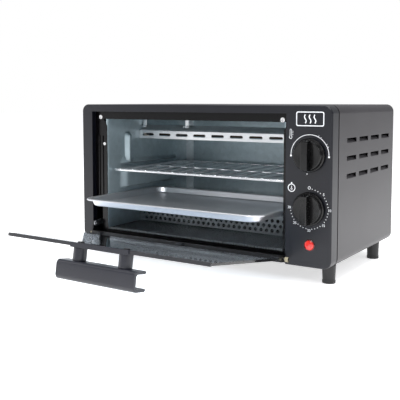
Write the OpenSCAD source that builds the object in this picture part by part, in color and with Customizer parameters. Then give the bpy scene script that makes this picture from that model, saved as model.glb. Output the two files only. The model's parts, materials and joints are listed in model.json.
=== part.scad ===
// Two-knob toaster oven with a drop-down glass door.
// Frame: +X to the right seen from the front, +Y to the back, +Z up.
// Origin: centre of the base plate's underside. Rest pose: door open on its stop, tray part-way out.

/* [Body] */
// Width of the painted body
body_w = 380; // [316:1:460]
// Depth of the painted body
body_d = 220; // [180:1:280]
// Height of the painted body without its feet
body_h = 190; // [184:1:240]
// Radius of the body's long corners
corner_r = 10; // [4:0.5:16]
// Thickness of the painted sheet
sheet_t = 0.8; // [0.5:0.1:1.5]
// Height of the feet
foot_h = 22; // [10:1:30]
// Distance from the front face to the front feet
foot_front_inset = 29; // [29:1:50]
// Distance from the back face to the rear feet
foot_rear_inset = 35; // [14:1:60]
// Distance from the side faces to the feet
foot_side_inset = 14; // [12:1:40]

/* [Front] */
// Depth of the moulded front surround
fascia_d = 18; // [14:0.5:30]
// Wall of the front surround
fascia_wall = 2.4; // [1.5:0.1:4]
// Shadow gap between the surround and the painted wrapper
groove_w = 2.5; // [0.5:0.5:5]
// Width of the control panel
panel_w = 58; // [50:1:90]
// Width of the surround to the left of the door
border_side = 18.5; // [10:0.5:30]
// Height of the surround above the door
border_top = 10; // [6:0.5:20]
// Depth of the recess that the door closes into
recess_d = 8; // [7:0.5:12]

/* [Cavity] */
// Black frame showing between the surround's left border and the cavity mouth
frame_side = 20.5; // [18:0.5:40]
// Black frame showing between the cavity mouth and the control panel
frame_right = 7; // [6:0.5:30]
// Black frame showing above the cavity mouth
frame_top = 10.5; // [8:0.5:30]
// Height of the cavity floor
floor_z = 13; // [12:0.5:30]
// Air gap behind the cavity
back_gap = 12; // [8:1:40]
// Thickness of the cavity sheet
liner_t = 0.8; // [0.5:0.1:1.2]
// How far the pressed ledges stand into the cavity
ledge_d = 7; // [3:0.5:9]
// Cut-back of the cavity mouth's upper corners
mouth_chamfer = 6; // [3:0.5:14]

/* [Rack and tray] */
// Height of the wire rack's bars above the base
rack_z = 97; // [80:0.5:117]
// Diameter of the rack's frame bars
rack_bar_d = 3.2; // [2:0.1:5]
// Diameter of the rack's cross wires
rack_wire_d = 2.4; // [1.5:0.1:3]
// Number of wires that run front to back
rack_wires = 12; // [8:1:18]
// Gap between the rack's rear bar and the cavity's back
rack_rear_gap = 9; // [4:1:40]
// Height of the tray's rim above the base
tray_z = 63.5; // [52:0.5:76]
// Gap between the tray's rear rim and the cavity's back when the door is closed
tray_rear_gap = 22; // [4:1:60]
// Height of the tray's wall
tray_h = 10; // [6:0.5:16]
// Width of the tray's flared rim
tray_rim = 6; // [4:0.5:10]
// Thickness of the tray's metal
tray_t = 0.8; // [0.5:0.1:1.2]
// How far the tray's front rim stands out of the body at rest
tray_out = 49; // [0:1:60]
// Side clearance of the tray, the rack and the crumb tray
slide_gap = 1.4; // [1:0.1:4]

/* [Door] */
// Angle the door opens through, from upright
door_open = 81; // [70:1:95]
// Height of the hinge axis above the base
hinge_z = 6; // [5.5:0.5:10]
// Gap above the free edge of the closed glass
door_top_gap = 5.5; // [5:0.5:12]
// Thickness of the glass
glass_t = 3.2; // [2.6:0.1:5]
// Gap between the glass and the recess wall at the hinge pin's side
door_gap_right = 1.5; // [1:0.1:3]
// Gap between the glass and the recess wall at the stay's side
door_gap_left = 9.5; // [9:0.5:14]
// Radius of the hinge pins
hinge_pin_r = 2; // [1.5:0.1:3]
// Radial clearance of every turning fit
turn_gap = 0.05; // [0.02:0.01:0.1]

/* [Handle] */
// Length of the grip
grip_l = 114; // [80:1:160]
// Distance of the handle's centre from the middle of the body
handle_x = -15; // [-40:1:20]
// Distance of the grip's near flange from the glass
grip_standoff = 17; // [12:1:30]
// Height of the grip's flat face
grip_h = 22.5; // [16:0.5:30]
// Depth of the grip's outer flange
grip_flange = 21; // [12:1:30]
// Wall of the grip
grip_wall = 3.4; // [2:0.1:4]
// Spacing of the two posts
post_pitch = 67; // [50:1:90]
// Diameter of the posts
post_d = 16; // [10:1:20]

/* [Controls] */
// Diameter of both knobs
knob_d = 39.5; // [30:0.1:48]
// Height of the knobs' grip bars above the panel
knob_h = 18; // [12:0.5:26]
// Height of the thermostat knob's centre as a share of the body's height
thermostat_at = 0.695; // [0.66:0.005:0.74]
// Height of the timer knob's centre as a share of the body's height
timer_at = 0.365; // [0.33:0.005:0.4]
// Height of the pilot lamp's centre as a share of the body's height
lamp_at = 0.14; // [0.12:0.005:0.16]
// Diameter of the pilot lamp
lamp_d = 14; // [8:0.5:18]
// Diameter of the control shafts
shaft_d = 6; // [4:0.5:8]

/* [Vents] */
// Rows of louvres on the right side
vent_rows = 3; // [1:1:4]
// Louvres in each row
vent_cols = 4; // [2:1:5]
// Share of a louvre row that is open
vent_fill = 0.75; // [0.4:0.05:0.9]
// Height of one louvre's opening
vent_h = 3; // [2:0.5:5]
// Distance from the body's top to the top row
vent_drop = 41; // [24:1:70]
// Spacing of the rows
vent_pitch_z = 21.5; // [14:0.5:30]

/* [Hidden] */
$fn = 48;
eps = 0.01;

front_y = -body_d/2;
back_y = body_d/2;
recess_x0 = -body_w/2 + border_side;
recess_x1 = body_w/2 - panel_w;
recess_z1 = body_h - border_top;
recess_y = front_y + recess_d;
wrapper_y = front_y + fascia_d + groove_w;

// Inside faces of the cooking cavity
cav_x0 = recess_x0 + frame_side;
cav_x1 = recess_x1 - frame_right;
cav_y0 = recess_y + sheet_t;
cav_y1 = back_y - back_gap;
cav_z0 = floor_z;
cav_z1 = recess_z1 - frame_top;
cav_w = cav_x1 - cav_x0;
cav_mid = (cav_x0 + cav_x1)/2;

// Small gap that keeps two parts of one body from sharing volume
touch = 0.3;

// Rack, tray and crumb tray along Y
rack_y0 = cav_y0 + 12;
rack_y1 = cav_y1 - rack_rear_gap;
tray_front_gap = 3.2;
tray_y0 = front_y - tray_out;
tray_travel = cav_y0 + tray_front_gap - tray_y0;
tray_d = cav_y1 - tray_rear_gap - cav_y0 - tray_front_gap;
tray_corner_r = 13;
crumb_y = [cav_y0 + 1, cav_y1 - 14];
crumb_h = 2.2;

// Heights of the pressed ledges: the tray's, the rack's and the one that stops the rack tipping
tray_ledge = [tray_z - 12, tray_z - 1 - touch];
rack_ledge = [tray_z + 5, rack_z - rack_bar_d/2 - touch];
tip_ledge = [rack_z + 6, rack_z + 13];
ledge_y = [cav_y0 + 25, cav_y1 - 30];
upright_y = [ledge_y[0] + 14, ledge_y[0] + 26];
upright_z1 = cav_z1 - 20.5;
rear_flange_w = 14;

// Door in its own upright frame: X as the body, Y through the glass, Z from the hinge axis to the free edge
hinge_y = front_y + 2;
door_l = recess_z1 - hinge_z - door_top_gap;
glass_x0 = recess_x0 + door_gap_left;
glass_x1 = recess_x1 - door_gap_right;
rail_half = 4;
rail_h = 9;
glass_seat = 5;
ear_x = recess_x0 + 2;
ear_t = 2.4;
stay_pin = [14.5, 4.3];
stay_pin_r = 1.5;
stay_reach = [21, 3];
stay_w = 8;
stay_t = 1.8;
bush_l = 4;
bush_wall = 1.6;
boss_h = 6;
handle_z = door_l - 6.5;

// Controls
control_x = (recess_x1 + body_w/2)/2 + 1.3;
lamp_x = control_x + 1;
thermostat_z = body_h*thermostat_at;
timer_z = body_h*timer_at;
lamp_z = body_h*lamp_at;
knob_gap = 1.2;
shaft_hole_r = shaft_d/2 + 0.6;

// Heaters and their guards
heater_r = 3.2;
upper_heater = [front_y + 98, cav_z1 - 23];
lower_heater = [front_y + 106, cav_z0 + 18];
insulator_r = 6;
upper_guard_y = front_y + 81;
upper_guard_z = [cav_z1 - 30, cav_z1 - 18.5];
guard_slots = 9;
guard_slot_pitch = (cav_w - 34)/(guard_slots - 1);
guard_slot_l = 0.68*guard_slot_pitch;
guard_slot_h = 4.2;
lower_guard_y = front_y + 81;
lower_guard_z = [cav_z0 + 3.2, cav_z0 + 29];
perf_pitch = 8.4;
perf_r = 2.5;
perf_rise = 6.8;
perf_rows = 3;

// Feet
foot_r = 8.5;
foot_x = body_w/2 - foot_side_inset;
foot_ys = [front_y + foot_front_inset, back_y - foot_rear_inset];
foot_ring_h = 3.4;
foot_well_r = 4.4;

// Screws
screw_r = 3;
screw_h = 1.6;
shank_r = 1.4;

// ---- Shape helpers ----

// A box between two corners
module block(x, y, z) {
    translate([x[0], y[0], z[0]]) cube([x[1] - x[0], y[1] - y[0], z[1] - z[0]]);
}

// Round bars along each axis, given by their two ends
module xrod(x, y, z, r) {
    translate([x[0], y, z]) rotate([0, 90, 0]) cylinder(h = x[1] - x[0], r = r);
}
module yrod(x, y, z, r) {
    translate([x, y[0], z]) rotate([-90, 0, 0]) cylinder(h = y[1] - y[0], r = r);
}
module zrod(x, y, z, r) {
    translate([x, y, z[0]]) cylinder(h = z[1] - z[0], r = r);
}

// The body's rounded front outline, drawn in from its edge and extruded from y[0] to y[1]
module outline(inset, y) {
    w = body_w - 2*inset;
    h = body_h - 2*inset;
    r = max(corner_r - inset, 1);
    translate([0, y[1], 0]) rotate([90, 0, 0]) linear_extrude(y[1] - y[0]) union() {
        translate([-w/2 + r, inset]) square([w - 2*r, h]);
        translate([-w/2, inset + r]) square([w, h - 2*r]);
        for (sx = [-1, 1], z = [inset + r, inset + h - r])
            translate([sx*(w/2 - r), z]) circle(r);
    }
}

// A profile drawn in Y and Z, extruded from x[0] to x[1]
module yz_plate(points, x) {
    translate([x[0], 0, 0]) rotate([90, 0, 90]) linear_extrude(x[1] - x[0]) polygon(points);
}

// Places children drawn in the door's upright frame where the open door is
module on_door() {
    translate([0, hinge_y, hinge_z]) rotate([door_open, 0, 0]) children();
}

// A pan-headed screw along -Y: the head stands out of the face at y, the shank goes in
module front_screw(x, y, z, r = screw_r, depth = 6) {
    difference() {
        union() {
            yrod(x, [y - screw_h, y], z, r);
            yrod(x, [y, y + depth], z, shank_r);
        }
        block([x - r*0.7, x + r*0.7], [y - screw_h - eps, y - screw_h + 0.7], [z - 0.35, z + 0.35]);
        block([x - 0.35, x + 0.35], [y - screw_h - eps, y - screw_h + 0.7], [z - r*0.7, z + r*0.7]);
    }
}

// ---- Body ----

vent_inset = 25;
vent_pitch_y = (back_y - wrapper_y - 2*vent_inset + 6)/(vent_cols - 1 + vent_fill);
vent_l = vent_fill*vent_pitch_y;
vent_zs = [for (r = [0:vent_rows - 1]) body_h - vent_drop - r*vent_pitch_z - vent_h/2];
function vent_y(c) = wrapper_y + vent_inset + c*vent_pitch_y;

// Painted U-shaped sheet: left side, top and right side, with pressed louvres on the right
module outer_wrapper() {
    color([0.25, 0.25, 0.27]) {
        difference() {
            outline(0, [wrapper_y, back_y]);
            outline(sheet_t, [wrapper_y - eps, back_y + eps]);
            block([-body_w/2 + corner_r, body_w/2 - corner_r], [wrapper_y - eps, back_y + eps],
                [-eps, sheet_t + eps]);
            for (z = vent_zs, c = [0:vent_cols - 1])
                block([body_w/2 - sheet_t - eps, body_w/2 + eps], [vent_y(c), vent_y(c) + vent_l],
                    [z, z + vent_h]);
        }
        for (z = vent_zs, c = [0:vent_cols - 1]) louvre(vent_y(c), z);
    }
}

// The lip under one louvre, pressed inwards from the sheet
lip_in = 3.2;
lip_t = 0.6;
module louvre(y, z) {
    x1 = body_w/2 - sheet_t;
    translate([0, y + vent_l, 0]) rotate([90, 0, 0]) linear_extrude(vent_l)
        polygon([[x1, z - 2*lip_t], [x1 - lip_in, z + vent_h - lip_t - 0.2],
            [x1 - lip_in + lip_t, z + vent_h - 0.4], [x1, z]]);
}

// Flat back closing the wrapper, with slots over the air gap and the cord gland's hole
gland_x = body_w/2 - 40;
gland_z = 34;
gland_r = 7;
gland_bore_r = 3.8;
rear_slots = 10;
rear_slot = [12, 3];
rear_slot_pitch = 18;
rear_slot_z = body_h*0.68;
module rear_panel() {
    color([0.22, 0.22, 0.24]) difference() {
        outline(sheet_t + touch, [back_y - 2*sheet_t, back_y - sheet_t]);
        for (i = [0:rear_slots - 1]) {
            x = (i - rear_slots/2)*rear_slot_pitch;
            block([x, x + rear_slot[0]], [back_y - 3, back_y + 1],
                [rear_slot_z, rear_slot_z + rear_slot[1]]);
        }
        yrod(gland_x, [back_y - 3, back_y + 1], gland_z, gland_r);
    }
}

// Bottom sheet between the wrapper's turned-in edges, on which the feet stand
module base_plate() {
    color([0.3, 0.3, 0.32]) difference() {
        block([-body_w/2 + corner_r + touch, body_w/2 - corner_r - touch],
            [wrapper_y, back_y - 2*sheet_t - touch], [0, sheet_t]);
        for (sx = [-1, 1], y = foot_ys) zrod(sx*foot_x, y, [-1, sheet_t + 1], shank_r);
    }
}

// Moulded surround: left border, top border and control panel in one piece
module front_fascia() {
    color([0.16, 0.17, 0.2]) difference() {
        union() {
            difference() {
                outline(0, [front_y, front_y + fascia_d]);
                outline(fascia_wall, [front_y + fascia_wall, front_y + fascia_d + eps]);
            }
            recess_wall();
        }
        block([recess_x0, recess_x1], [front_y - eps, front_y + fascia_wall + eps], [-eps, recess_z1]);
        block([recess_x0, recess_x1], [front_y - eps, recess_y], [-eps, recess_z1]);
        for (z = [thermostat_z, timer_z])
            yrod(control_x, [front_y - 1, front_y + fascia_wall + 1], z, shaft_hole_r);
        yrod(lamp_x, [front_y - 1, front_y + fascia_wall + 1], lamp_z, lamp_d/2 - 1);
        xrod([recess_x0 - bush_l - 1, recess_x0 + 1], hinge_y, hinge_z, hinge_pin_r + bush_wall);
        xrod([recess_x1 - 1, recess_x1 + bush_l + 1], hinge_y, hinge_z, hinge_pin_r + bush_wall);
    }
}

// Side and top walls of the recess, and the bosses round the hinge bushes
module recess_wall() {
    y = [front_y, recess_y];
    block([recess_x0 - fascia_wall, recess_x0], y, [0, recess_z1 + fascia_wall]);
    block([recess_x1, recess_x1 + fascia_wall], y, [0, recess_z1 + fascia_wall]);
    block([recess_x0 - fascia_wall, recess_x1 + fascia_wall], y, [recess_z1, recess_z1 + fascia_wall]);
    block([recess_x0 - bush_l, recess_x0], y, [0, hinge_z + boss_h]);
    block([recess_x1, recess_x1 + bush_l], y, [0, hinge_z + boss_h]);
}

// Plain rounded plate in the panel's top corner
badge_w = 35;
badge_h = 17;
badge_z = body_h - 16;
badge_edge = 1.2;
module panel_badge() {
    color([0.75, 0.76, 0.78]) difference() {
        block([control_x - badge_w/2, control_x + badge_w/2], [front_y - 0.6, front_y],
            [badge_z - badge_h/2, badge_z + badge_h/2]);
        block([control_x - badge_w/2 + badge_edge, control_x + badge_w/2 - badge_edge],
            [front_y - 0.7, front_y - 0.3],
            [badge_z - badge_h/2 + badge_edge, badge_z + badge_h/2 - badge_edge]);
    }
}

// Black sheet frame behind the door: the cavity mouth with cut-back upper corners, two stiffening
// ribs at the left and a notch for the stay's ear
frame_rib = [1.8, 1.2];
frame_rib_x = 11;
frame_rib_z = [48, cav_z1 - 24];
stay_notch_z = 46;
module front_frame() {
    color([0.06, 0.06, 0.07]) difference() {
        union() {
            block([recess_x0 - fascia_wall, recess_x1 + fascia_wall], [recess_y, recess_y + sheet_t],
                [fascia_wall, recess_z1 + fascia_wall]);
            for (d = [-3, 3]) let (x = cav_x0 - frame_rib_x + d)
                block([x - frame_rib[0]/2, x + frame_rib[0]/2], [recess_y - frame_rib[1], recess_y],
                    frame_rib_z);
        }
        translate([0, recess_y + sheet_t + eps, 0]) rotate([90, 0, 0]) linear_extrude(4) polygon([
            [cav_x0, cav_z0], [cav_x1, cav_z0], [cav_x1, cav_z1 - 1.7*mouth_chamfer],
            [cav_x1 + mouth_chamfer, cav_z1], [cav_x0 - mouth_chamfer, cav_z1],
            [cav_x0, cav_z1 - 1.7*mouth_chamfer]]);
        block([ear_x - 1, ear_x + ear_t + 7], [recess_y - 2, recess_y + 2], [-1, stay_notch_z]);
        for (x = frame_screw_x) yrod(x, [recess_y - 2, recess_y + 2], frame_screw_z, shank_r);
        yrod(side_screw_x, [recess_y - 2, recess_y + 2], side_screw_z, shank_r);
    }
}

// ---- Cavity ----

// One pressed bead on the left wall: solid outside shape, then the pocket behind it
module ledge(y, z, depth) {
    block([cav_x0 - eps, cav_x0 + depth], y, z);
}
module ledge_pocket(y, z, depth) {
    block([cav_x0 - liner_t - eps, cav_x0 + depth - liner_t], [y[0] + liner_t, y[1] - liner_t],
        [z[0] + liner_t, z[1] - liner_t]);
}

// Left cavity wall: three pressed ledges, the upright of the top one, and a rear flange
module side_liner() {
    difference() {
        union() {
            block([cav_x0 - liner_t, cav_x0], [cav_y0, cav_y1], [cav_z0, cav_z1]);
            block([cav_x0 - liner_t, cav_x0 + rear_flange_w], [cav_y1 - liner_t, cav_y1], [cav_z0, cav_z1]);
            ledge(ledge_y, tray_ledge, ledge_d);
            ledge(ledge_y, rack_ledge, ledge_d);
            ledge(ledge_y, tip_ledge, ledge_d - 1);
            ledge(upright_y, [tip_ledge[0], upright_z1], ledge_d - 1);
        }
        ledge_pocket(ledge_y, tray_ledge, ledge_d);
        ledge_pocket(ledge_y, rack_ledge, ledge_d);
        ledge_pocket(ledge_y, tip_ledge, ledge_d - 1);
        ledge_pocket(upright_y, [tip_ledge[0], upright_z1], ledge_d - 1);
        for (h = [upper_heater, lower_heater])
            xrod([cav_x0 - 2, cav_x0 + 2], h[0], h[1], insulator_r - 1.5);
    }
}

module liner_left() {
    color([0.55, 0.6, 0.63]) side_liner();
}

module liner_right() {
    color([0.55, 0.6, 0.63]) translate([2*cav_mid, 0, 0]) mirror([1, 0, 0]) side_liner();
}

module liner_back() {
    color([0.55, 0.6, 0.63]) block([cav_x0 - liner_t, cav_x1 + liner_t], [cav_y1, cav_y1 + liner_t],
        [cav_z0 - liner_t, cav_z1 + liner_t]);
}

module liner_roof() {
    color([0.55, 0.6, 0.63]) block([cav_x0 - liner_t, cav_x1 + liner_t], [cav_y0, cav_y1],
        [cav_z1, cav_z1 + liner_t]);
}

module liner_floor() {
    color([0.45, 0.47, 0.48]) block([cav_x0 - liner_t, cav_x1 + liner_t], [cav_y0, cav_y1],
        [cav_z0 - liner_t, cav_z0]);
}

// Bright sheet that keeps the cavity's heat off the controls
shield_x = cav_x1 + 7;
module heat_shield() {
    color([0.7, 0.71, 0.72]) {
        block([shield_x, shield_x + sheet_t], [wrapper_y, cav_y1 - 6], [sheet_t, recess_z1 - 4]);
        block([shield_x + sheet_t, shield_x + 5.5], [wrapper_y, cav_y1 - 6], [sheet_t, 2*sheet_t]);
    }
}

// A heating rod from one side of the cavity to the other, with a thin terminal at each end
module heater_rod(at) {
    color([0.55, 0.5, 0.45]) {
        xrod([cav_x0 - 3, cav_x1 + 3], at[0], at[1], heater_r);
        xrod([cav_x0 - 10, cav_x0 - 3], at[0], at[1], 1.2);
        xrod([cav_x1 + 3, cav_x1 + 6], at[0], at[1], 1.2);
    }
}

module upper_heater_rod() { heater_rod(upper_heater); }
module lower_heater_rod() { heater_rod(lower_heater); }

// Four ceramic collars, flanged inside the cavity wall
module heater_insulators() {
    color([0.92, 0.9, 0.84]) for (h = [upper_heater, lower_heater], side = [-1, 1]) {
        x = side < 0 ? cav_x0 : cav_x1;
        difference() {
            union() {
                xrod(side < 0 ? [x, x + 2.5] : [x - 2.5, x], h[0], h[1], insulator_r);
                xrod(side < 0 ? [x - 3, x + 0.1] : [x - 0.1, x + 3], h[0], h[1], insulator_r - 1.6);
            }
            xrod([x - 5, x + 5], h[0], h[1], heater_r);
        }
    }
}

// Bent guard in front of the upper rod: an upright face with a row of slots and a sloping face over it
module upper_guard() {
    y = upper_guard_y;
    z = upper_guard_z;
    color([0.78, 0.79, 0.8]) difference() {
        union() {
            block([cav_x0 + touch, cav_x1 - touch], [y, y + liner_t], z);
            yz_plate([[y, z[1]], [y + liner_t, z[1]], [y + 22, z[1] + 8], [y + 21.5, z[1] + 8.7]],
                [cav_x0 + touch, cav_x1 - touch]);
        }
        for (i = [0:guard_slots - 1]) {
            x = cav_mid + (i - (guard_slots - 1)/2)*guard_slot_pitch;
            zm = (z[0] + z[1])/2;
            translate([0, y + 2, 0]) rotate([90, 0, 0]) linear_extrude(3) {
                translate([x - guard_slot_l/2 + guard_slot_h/2, zm - guard_slot_h/2])
                    square([guard_slot_l - guard_slot_h, guard_slot_h]);
                for (s = [-1, 1]) translate([x + s*(guard_slot_l - guard_slot_h)/2, zm])
                    circle(guard_slot_h/2, $fn = 24);
            }
        }
    }
}

// Perforated screen in front of the lower rod, folded back at the top
module lower_guard() {
    y = lower_guard_y;
    z = lower_guard_z;
    cols = floor((cav_w - 14)/perf_pitch);
    color([0.5, 0.51, 0.52]) {
        translate([0, y + liner_t, 0]) rotate([90, 0, 0]) linear_extrude(liner_t) difference() {
            translate([cav_x0 + touch, z[0]]) square([cav_w - 2*touch, z[1] - z[0]]);
            for (r = [0:perf_rows - 1], c = [0:cols - 1])
                translate([cav_mid + (c - (cols - 1)/2 + (r % 2 == 0 ? 0.25 : -0.25))*perf_pitch,
                    z[0] + 5.2 + r*perf_rise]) circle(perf_r, $fn = 16);
        }
        block([cav_x0 + touch, cav_x1 - touch], [y + liner_t, y + 9], [z[1] - liner_t, z[1]]);
    }
}

// Two roof hooks that hold the upper guard
hook_xs = [cav_x0 + 5, cav_x0 + 0.295*cav_w];
hook_half = 3;
module guard_hooks() {
    y = upper_guard_y;
    z = upper_guard_z[1];
    color([0.8, 0.8, 0.78]) for (x = hook_xs) {
        block([x - hook_half, x + hook_half], [y + 8, y + 9], [z + 5, cav_z1]);
        block([x - hook_half, x + hook_half], [y + 2, y + 8], [z + 6, z + 7]);
    }
}

// Shallow sheet that lies on the cavity floor under the lower guard
module crumb_tray() {
    x = [cav_x0 + slide_gap, cav_x1 - slide_gap];
    y = crumb_y;
    z = cav_z0 + touch;
    color([0.5, 0.52, 0.53]) {
        block(x, y, [z, z + sheet_t]);
        block([x[0], x[0] + 1], y, [z + sheet_t, z + crumb_h]);
        block([x[1] - 1, x[1]], y, [z + sheet_t, z + crumb_h]);
        block([x[0] + 1, x[1] - 1], [y[0], y[0] + 1], [z + sheet_t, z + crumb_h]);
        block([x[0] + 1, x[1] - 1], [y[1] - 1, y[1]], [z + sheet_t, z + crumb_h]);
    }
}

// Plated rack: a closed frame of bar with wires welded across it from front to back
module wire_rack() {
    x0 = cav_x0 + slide_gap + rack_bar_d/2;
    x1 = cav_x1 - slide_gap - rack_bar_d/2;
    ys = [rack_y0, rack_y1];
    pitch = (x1 - x0)/(rack_wires - 0.1);
    color([0.82, 0.83, 0.84]) {
        for (y = ys) xrod([x0, x1], y, rack_z, rack_bar_d/2);
        for (x = [x0, x1]) yrod(x, ys, rack_z, rack_bar_d/2);
        for (x = [x0, x1], y = ys) translate([x, y, rack_z]) sphere(r = rack_bar_d/2);
        for (i = [0:rack_wires - 1])
            yrod((x0 + x1)/2 + (i - (rack_wires - 1)/2)*pitch, ys, rack_z, rack_wire_d/2);
        xrod([x0, x1], (rack_y0 + rack_y1)/2, rack_z - rack_wire_d/4, rack_wire_d/2);
    }
}

// A rounded rectangle of the given size centred on the tray, drawn flat
module tray_plan(w, d, r) {
    translate([-w/2 + r, -d/2]) square([w - 2*r, d]);
    translate([-w/2, -d/2 + r]) square([w, d - 2*r]);
    for (sx = [-1, 1], sy = [-1, 1]) translate([sx*(w/2 - r), sy*(d/2 - r)]) circle(r);
}

// Pressed tray with a flared rim, drawn part-way out of the cavity
module baking_tray() {
    w = cav_w - 2*slide_gap;
    inside = 2*tray_rim + 2*tray_t;
    color([0.8, 0.81, 0.82]) translate([cav_mid, tray_y0 + tray_d/2, tray_z - tray_h])
        difference() {
            union() {
                linear_extrude(tray_h - tray_t)
                    tray_plan(w - 2*tray_rim, tray_d - 2*tray_rim, tray_corner_r);
                translate([0, 0, tray_h - 1]) linear_extrude(1)
                    tray_plan(w, tray_d, tray_corner_r + tray_rim - 2);
            }
            translate([0, 0, tray_t]) linear_extrude(tray_h)
                tray_plan(w - inside, tray_d - inside, tray_corner_r - tray_t);
        }
}

// ---- Door, drawn upright in the door's frame ----

module door_glass() {
    color([0.7, 0.85, 0.95, 0.35]) on_door() difference() {
        block([glass_x0, glass_x1], [-glass_t/2, glass_t/2], [glass_seat, door_l]);
        for (s = [-1, 1]) yrod(handle_x + s*post_pitch/2, [-glass_t, glass_t], handle_z, shank_r + 1);
    }
}

// Channel that holds the glass's lower edge, with the stay's ear at its left end
module door_rail() {
    color([0.08, 0.08, 0.09]) on_door() {
        difference() {
            block([ear_x, glass_x1], [-rail_half, rail_half], [-rail_half, rail_h]);
            block([glass_x0, glass_x1 + 1], [-glass_t/2, glass_t/2], [glass_seat, rail_h + 1]);
            xrod([ear_x - 1, ear_x + pin_in_rail], 0, 0, hinge_pin_r);
            xrod([glass_x1 - pin_in_rail, glass_x1 + 1], 0, 0, hinge_pin_r);
        }
        difference() {
            yz_plate([[rail_half - eps, -rail_half], [stay_pin[0], stay_pin[1] - 4],
                [stay_pin[0], stay_pin[1] + 4], [rail_half - eps, rail_h]], [ear_x, ear_x + ear_t]);
            xrod([ear_x - 1, ear_x + ear_t + 1], stay_pin[0], stay_pin[1], stay_pin_r);
        }
        difference() {
            xrod([ear_x, ear_x + ear_t], stay_pin[0], stay_pin[1], 4);
            block([ear_x - 1, ear_x + ear_t + 1], [stay_pin[0] - 5, stay_pin[0]],
                [stay_pin[1] - 5, stay_pin[1] + 5]);
            xrod([ear_x - 1, ear_x + ear_t + 1], stay_pin[0], stay_pin[1], stay_pin_r);
        }
    }
}

// Two steel pins pressed into the rail's ends, and the stay's pin in its ear
pin_in_rail = 8;
module hinge_pins() {
    color([0.75, 0.75, 0.73]) on_door() {
        xrod([recess_x0 - bush_l + 0.5, ear_x + pin_in_rail], 0, 0, hinge_pin_r);
        xrod([glass_x1 - pin_in_rail, recess_x1 + bush_l - 0.5], 0, 0, hinge_pin_r);
        xrod([ear_x, ear_x + ear_t + stay_t + 1.2], stay_pin[0], stay_pin[1], stay_pin_r);
    }
}

// Bearing bushes set in the recess walls
module hinge_bushes() {
    color([0.85, 0.84, 0.8]) difference() {
        union() {
            xrod([recess_x0 - bush_l, recess_x0], hinge_y, hinge_z, hinge_pin_r + bush_wall);
            xrod([recess_x1, recess_x1 + bush_l], hinge_y, hinge_z, hinge_pin_r + bush_wall);
        }
        xrod([recess_x0 - bush_l - 1, recess_x1 + bush_l + 1], hinge_y, hinge_z, hinge_pin_r + turn_gap);
    }
}

// Small tapered clips that clamp the glass to the rail's inner side
clip_half = 7;
clip_h = 4.5;
clip_t = 1.8;
clip_xs = [glass_x0 + clip_half, (glass_x0 + glass_x1)/2, glass_x1 - clip_half];
module rail_clips() {
    color([0.06, 0.06, 0.07]) on_door() for (x = clip_xs)
        translate([x, glass_t/2 + clip_t, 0]) rotate([90, 0, 0]) linear_extrude(clip_t) polygon([
            [-clip_half, rail_h], [clip_half, rail_h],
            [clip_half - 2, rail_h + clip_h], [2 - clip_half, rail_h + clip_h]]);
}

// Dark channel along the free edge of the glass, on both sides of the handle's base
trim_t = 0.5;
trim_h = 2.6;
module door_edge_trim() {
    color([0.1, 0.1, 0.11]) on_door() {
        for (x = [[glass_x0, handle_x - base_l/2], [handle_x + base_l/2, glass_x1]]) difference() {
            block(x, [-glass_t/2 - trim_t, glass_t/2 + trim_t], [door_l - trim_h, door_l + trim_t]);
            block([x[0] - 1, x[1] + 1], [-glass_t/2, glass_t/2], [door_l - trim_h - 1, door_l]);
        }
    }
}

// ---- Handle, drawn upright in the door's frame ----

base_l = post_pitch + post_d + 2;
base_t = 1.8;
base_lip = 0.8;

// Strip that hooks over the free edge of the glass and carries the posts
module handle_base() {
    color([0.2, 0.2, 0.22]) on_door() difference() {
        block([handle_x - base_l/2, handle_x + base_l/2], [-glass_t/2 - base_t, glass_t/2 + base_lip],
            [handle_z - post_d/2, door_l + base_t]);
        block([handle_x - base_l, handle_x + base_l], [-glass_t/2, glass_t/2 + 2],
            [handle_z - post_d, door_l]);
        for (s = [-1, 1]) yrod(handle_x + s*post_pitch/2, [-glass_t/2 - base_t - 1, 0], handle_z, shank_r);
    }
}

// Two round posts between the base strip and the grip
module handle_posts() {
    color([0.2, 0.2, 0.22]) on_door() for (s = [-1, 1]) difference() {
        yrod(handle_x + s*post_pitch/2, [-glass_t/2 - grip_standoff, -glass_t/2 - base_t],
            handle_z, post_d/2);
        yrod(handle_x + s*post_pitch/2, [-glass_t/2 - grip_standoff + 4, 0], handle_z, shank_r);
    }
}

// Channel-shaped grip, open towards the hinge: a near flange, a flat face and a deeper outer flange
module handle_grip() {
    y1 = -glass_t/2 - grip_standoff;
    y0 = y1 - grip_h;
    z1 = handle_z + post_d/2 + 4.5;
    x = [handle_x - grip_l/2, handle_x + grip_l/2];
    color([0.2, 0.2, 0.22]) on_door() {
        block(x, [y0, y1], [z1 - grip_wall, z1]);
        block(x, [y1 - grip_wall, y1], [handle_z - post_d/2, z1 - grip_wall]);
        block(x, [y0, y0 + grip_wall], [z1 - grip_flange, z1 - grip_wall]);
    }
}

// Two screws through the glass into the posts
module handle_screws() {
    color([0.8, 0.8, 0.8]) on_door() for (s = [-1, 1]) {
        yrod(handle_x + s*post_pitch/2, [glass_t/2, glass_t/2 + 1.6], handle_z, 4);
        yrod(handle_x + s*post_pitch/2, [-glass_t/2 - grip_standoff + 5, glass_t/2 + 1], handle_z,
            shank_r);
    }
}

// ---- Door stay ----

// World position of the stay's pin on the open door
stay_y = hinge_y + stay_pin[0]*cos(door_open) - stay_pin[1]*sin(door_open);
stay_z = hinge_z + stay_pin[0]*sin(door_open) + stay_pin[1]*cos(door_open);
stay_x = [ear_x + ear_t + 0.4, ear_x + ear_t + 0.4 + stay_t];
stay_len = norm(stay_reach);
stay_tilt = atan2(stay_reach[1], stay_reach[0]);

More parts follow.
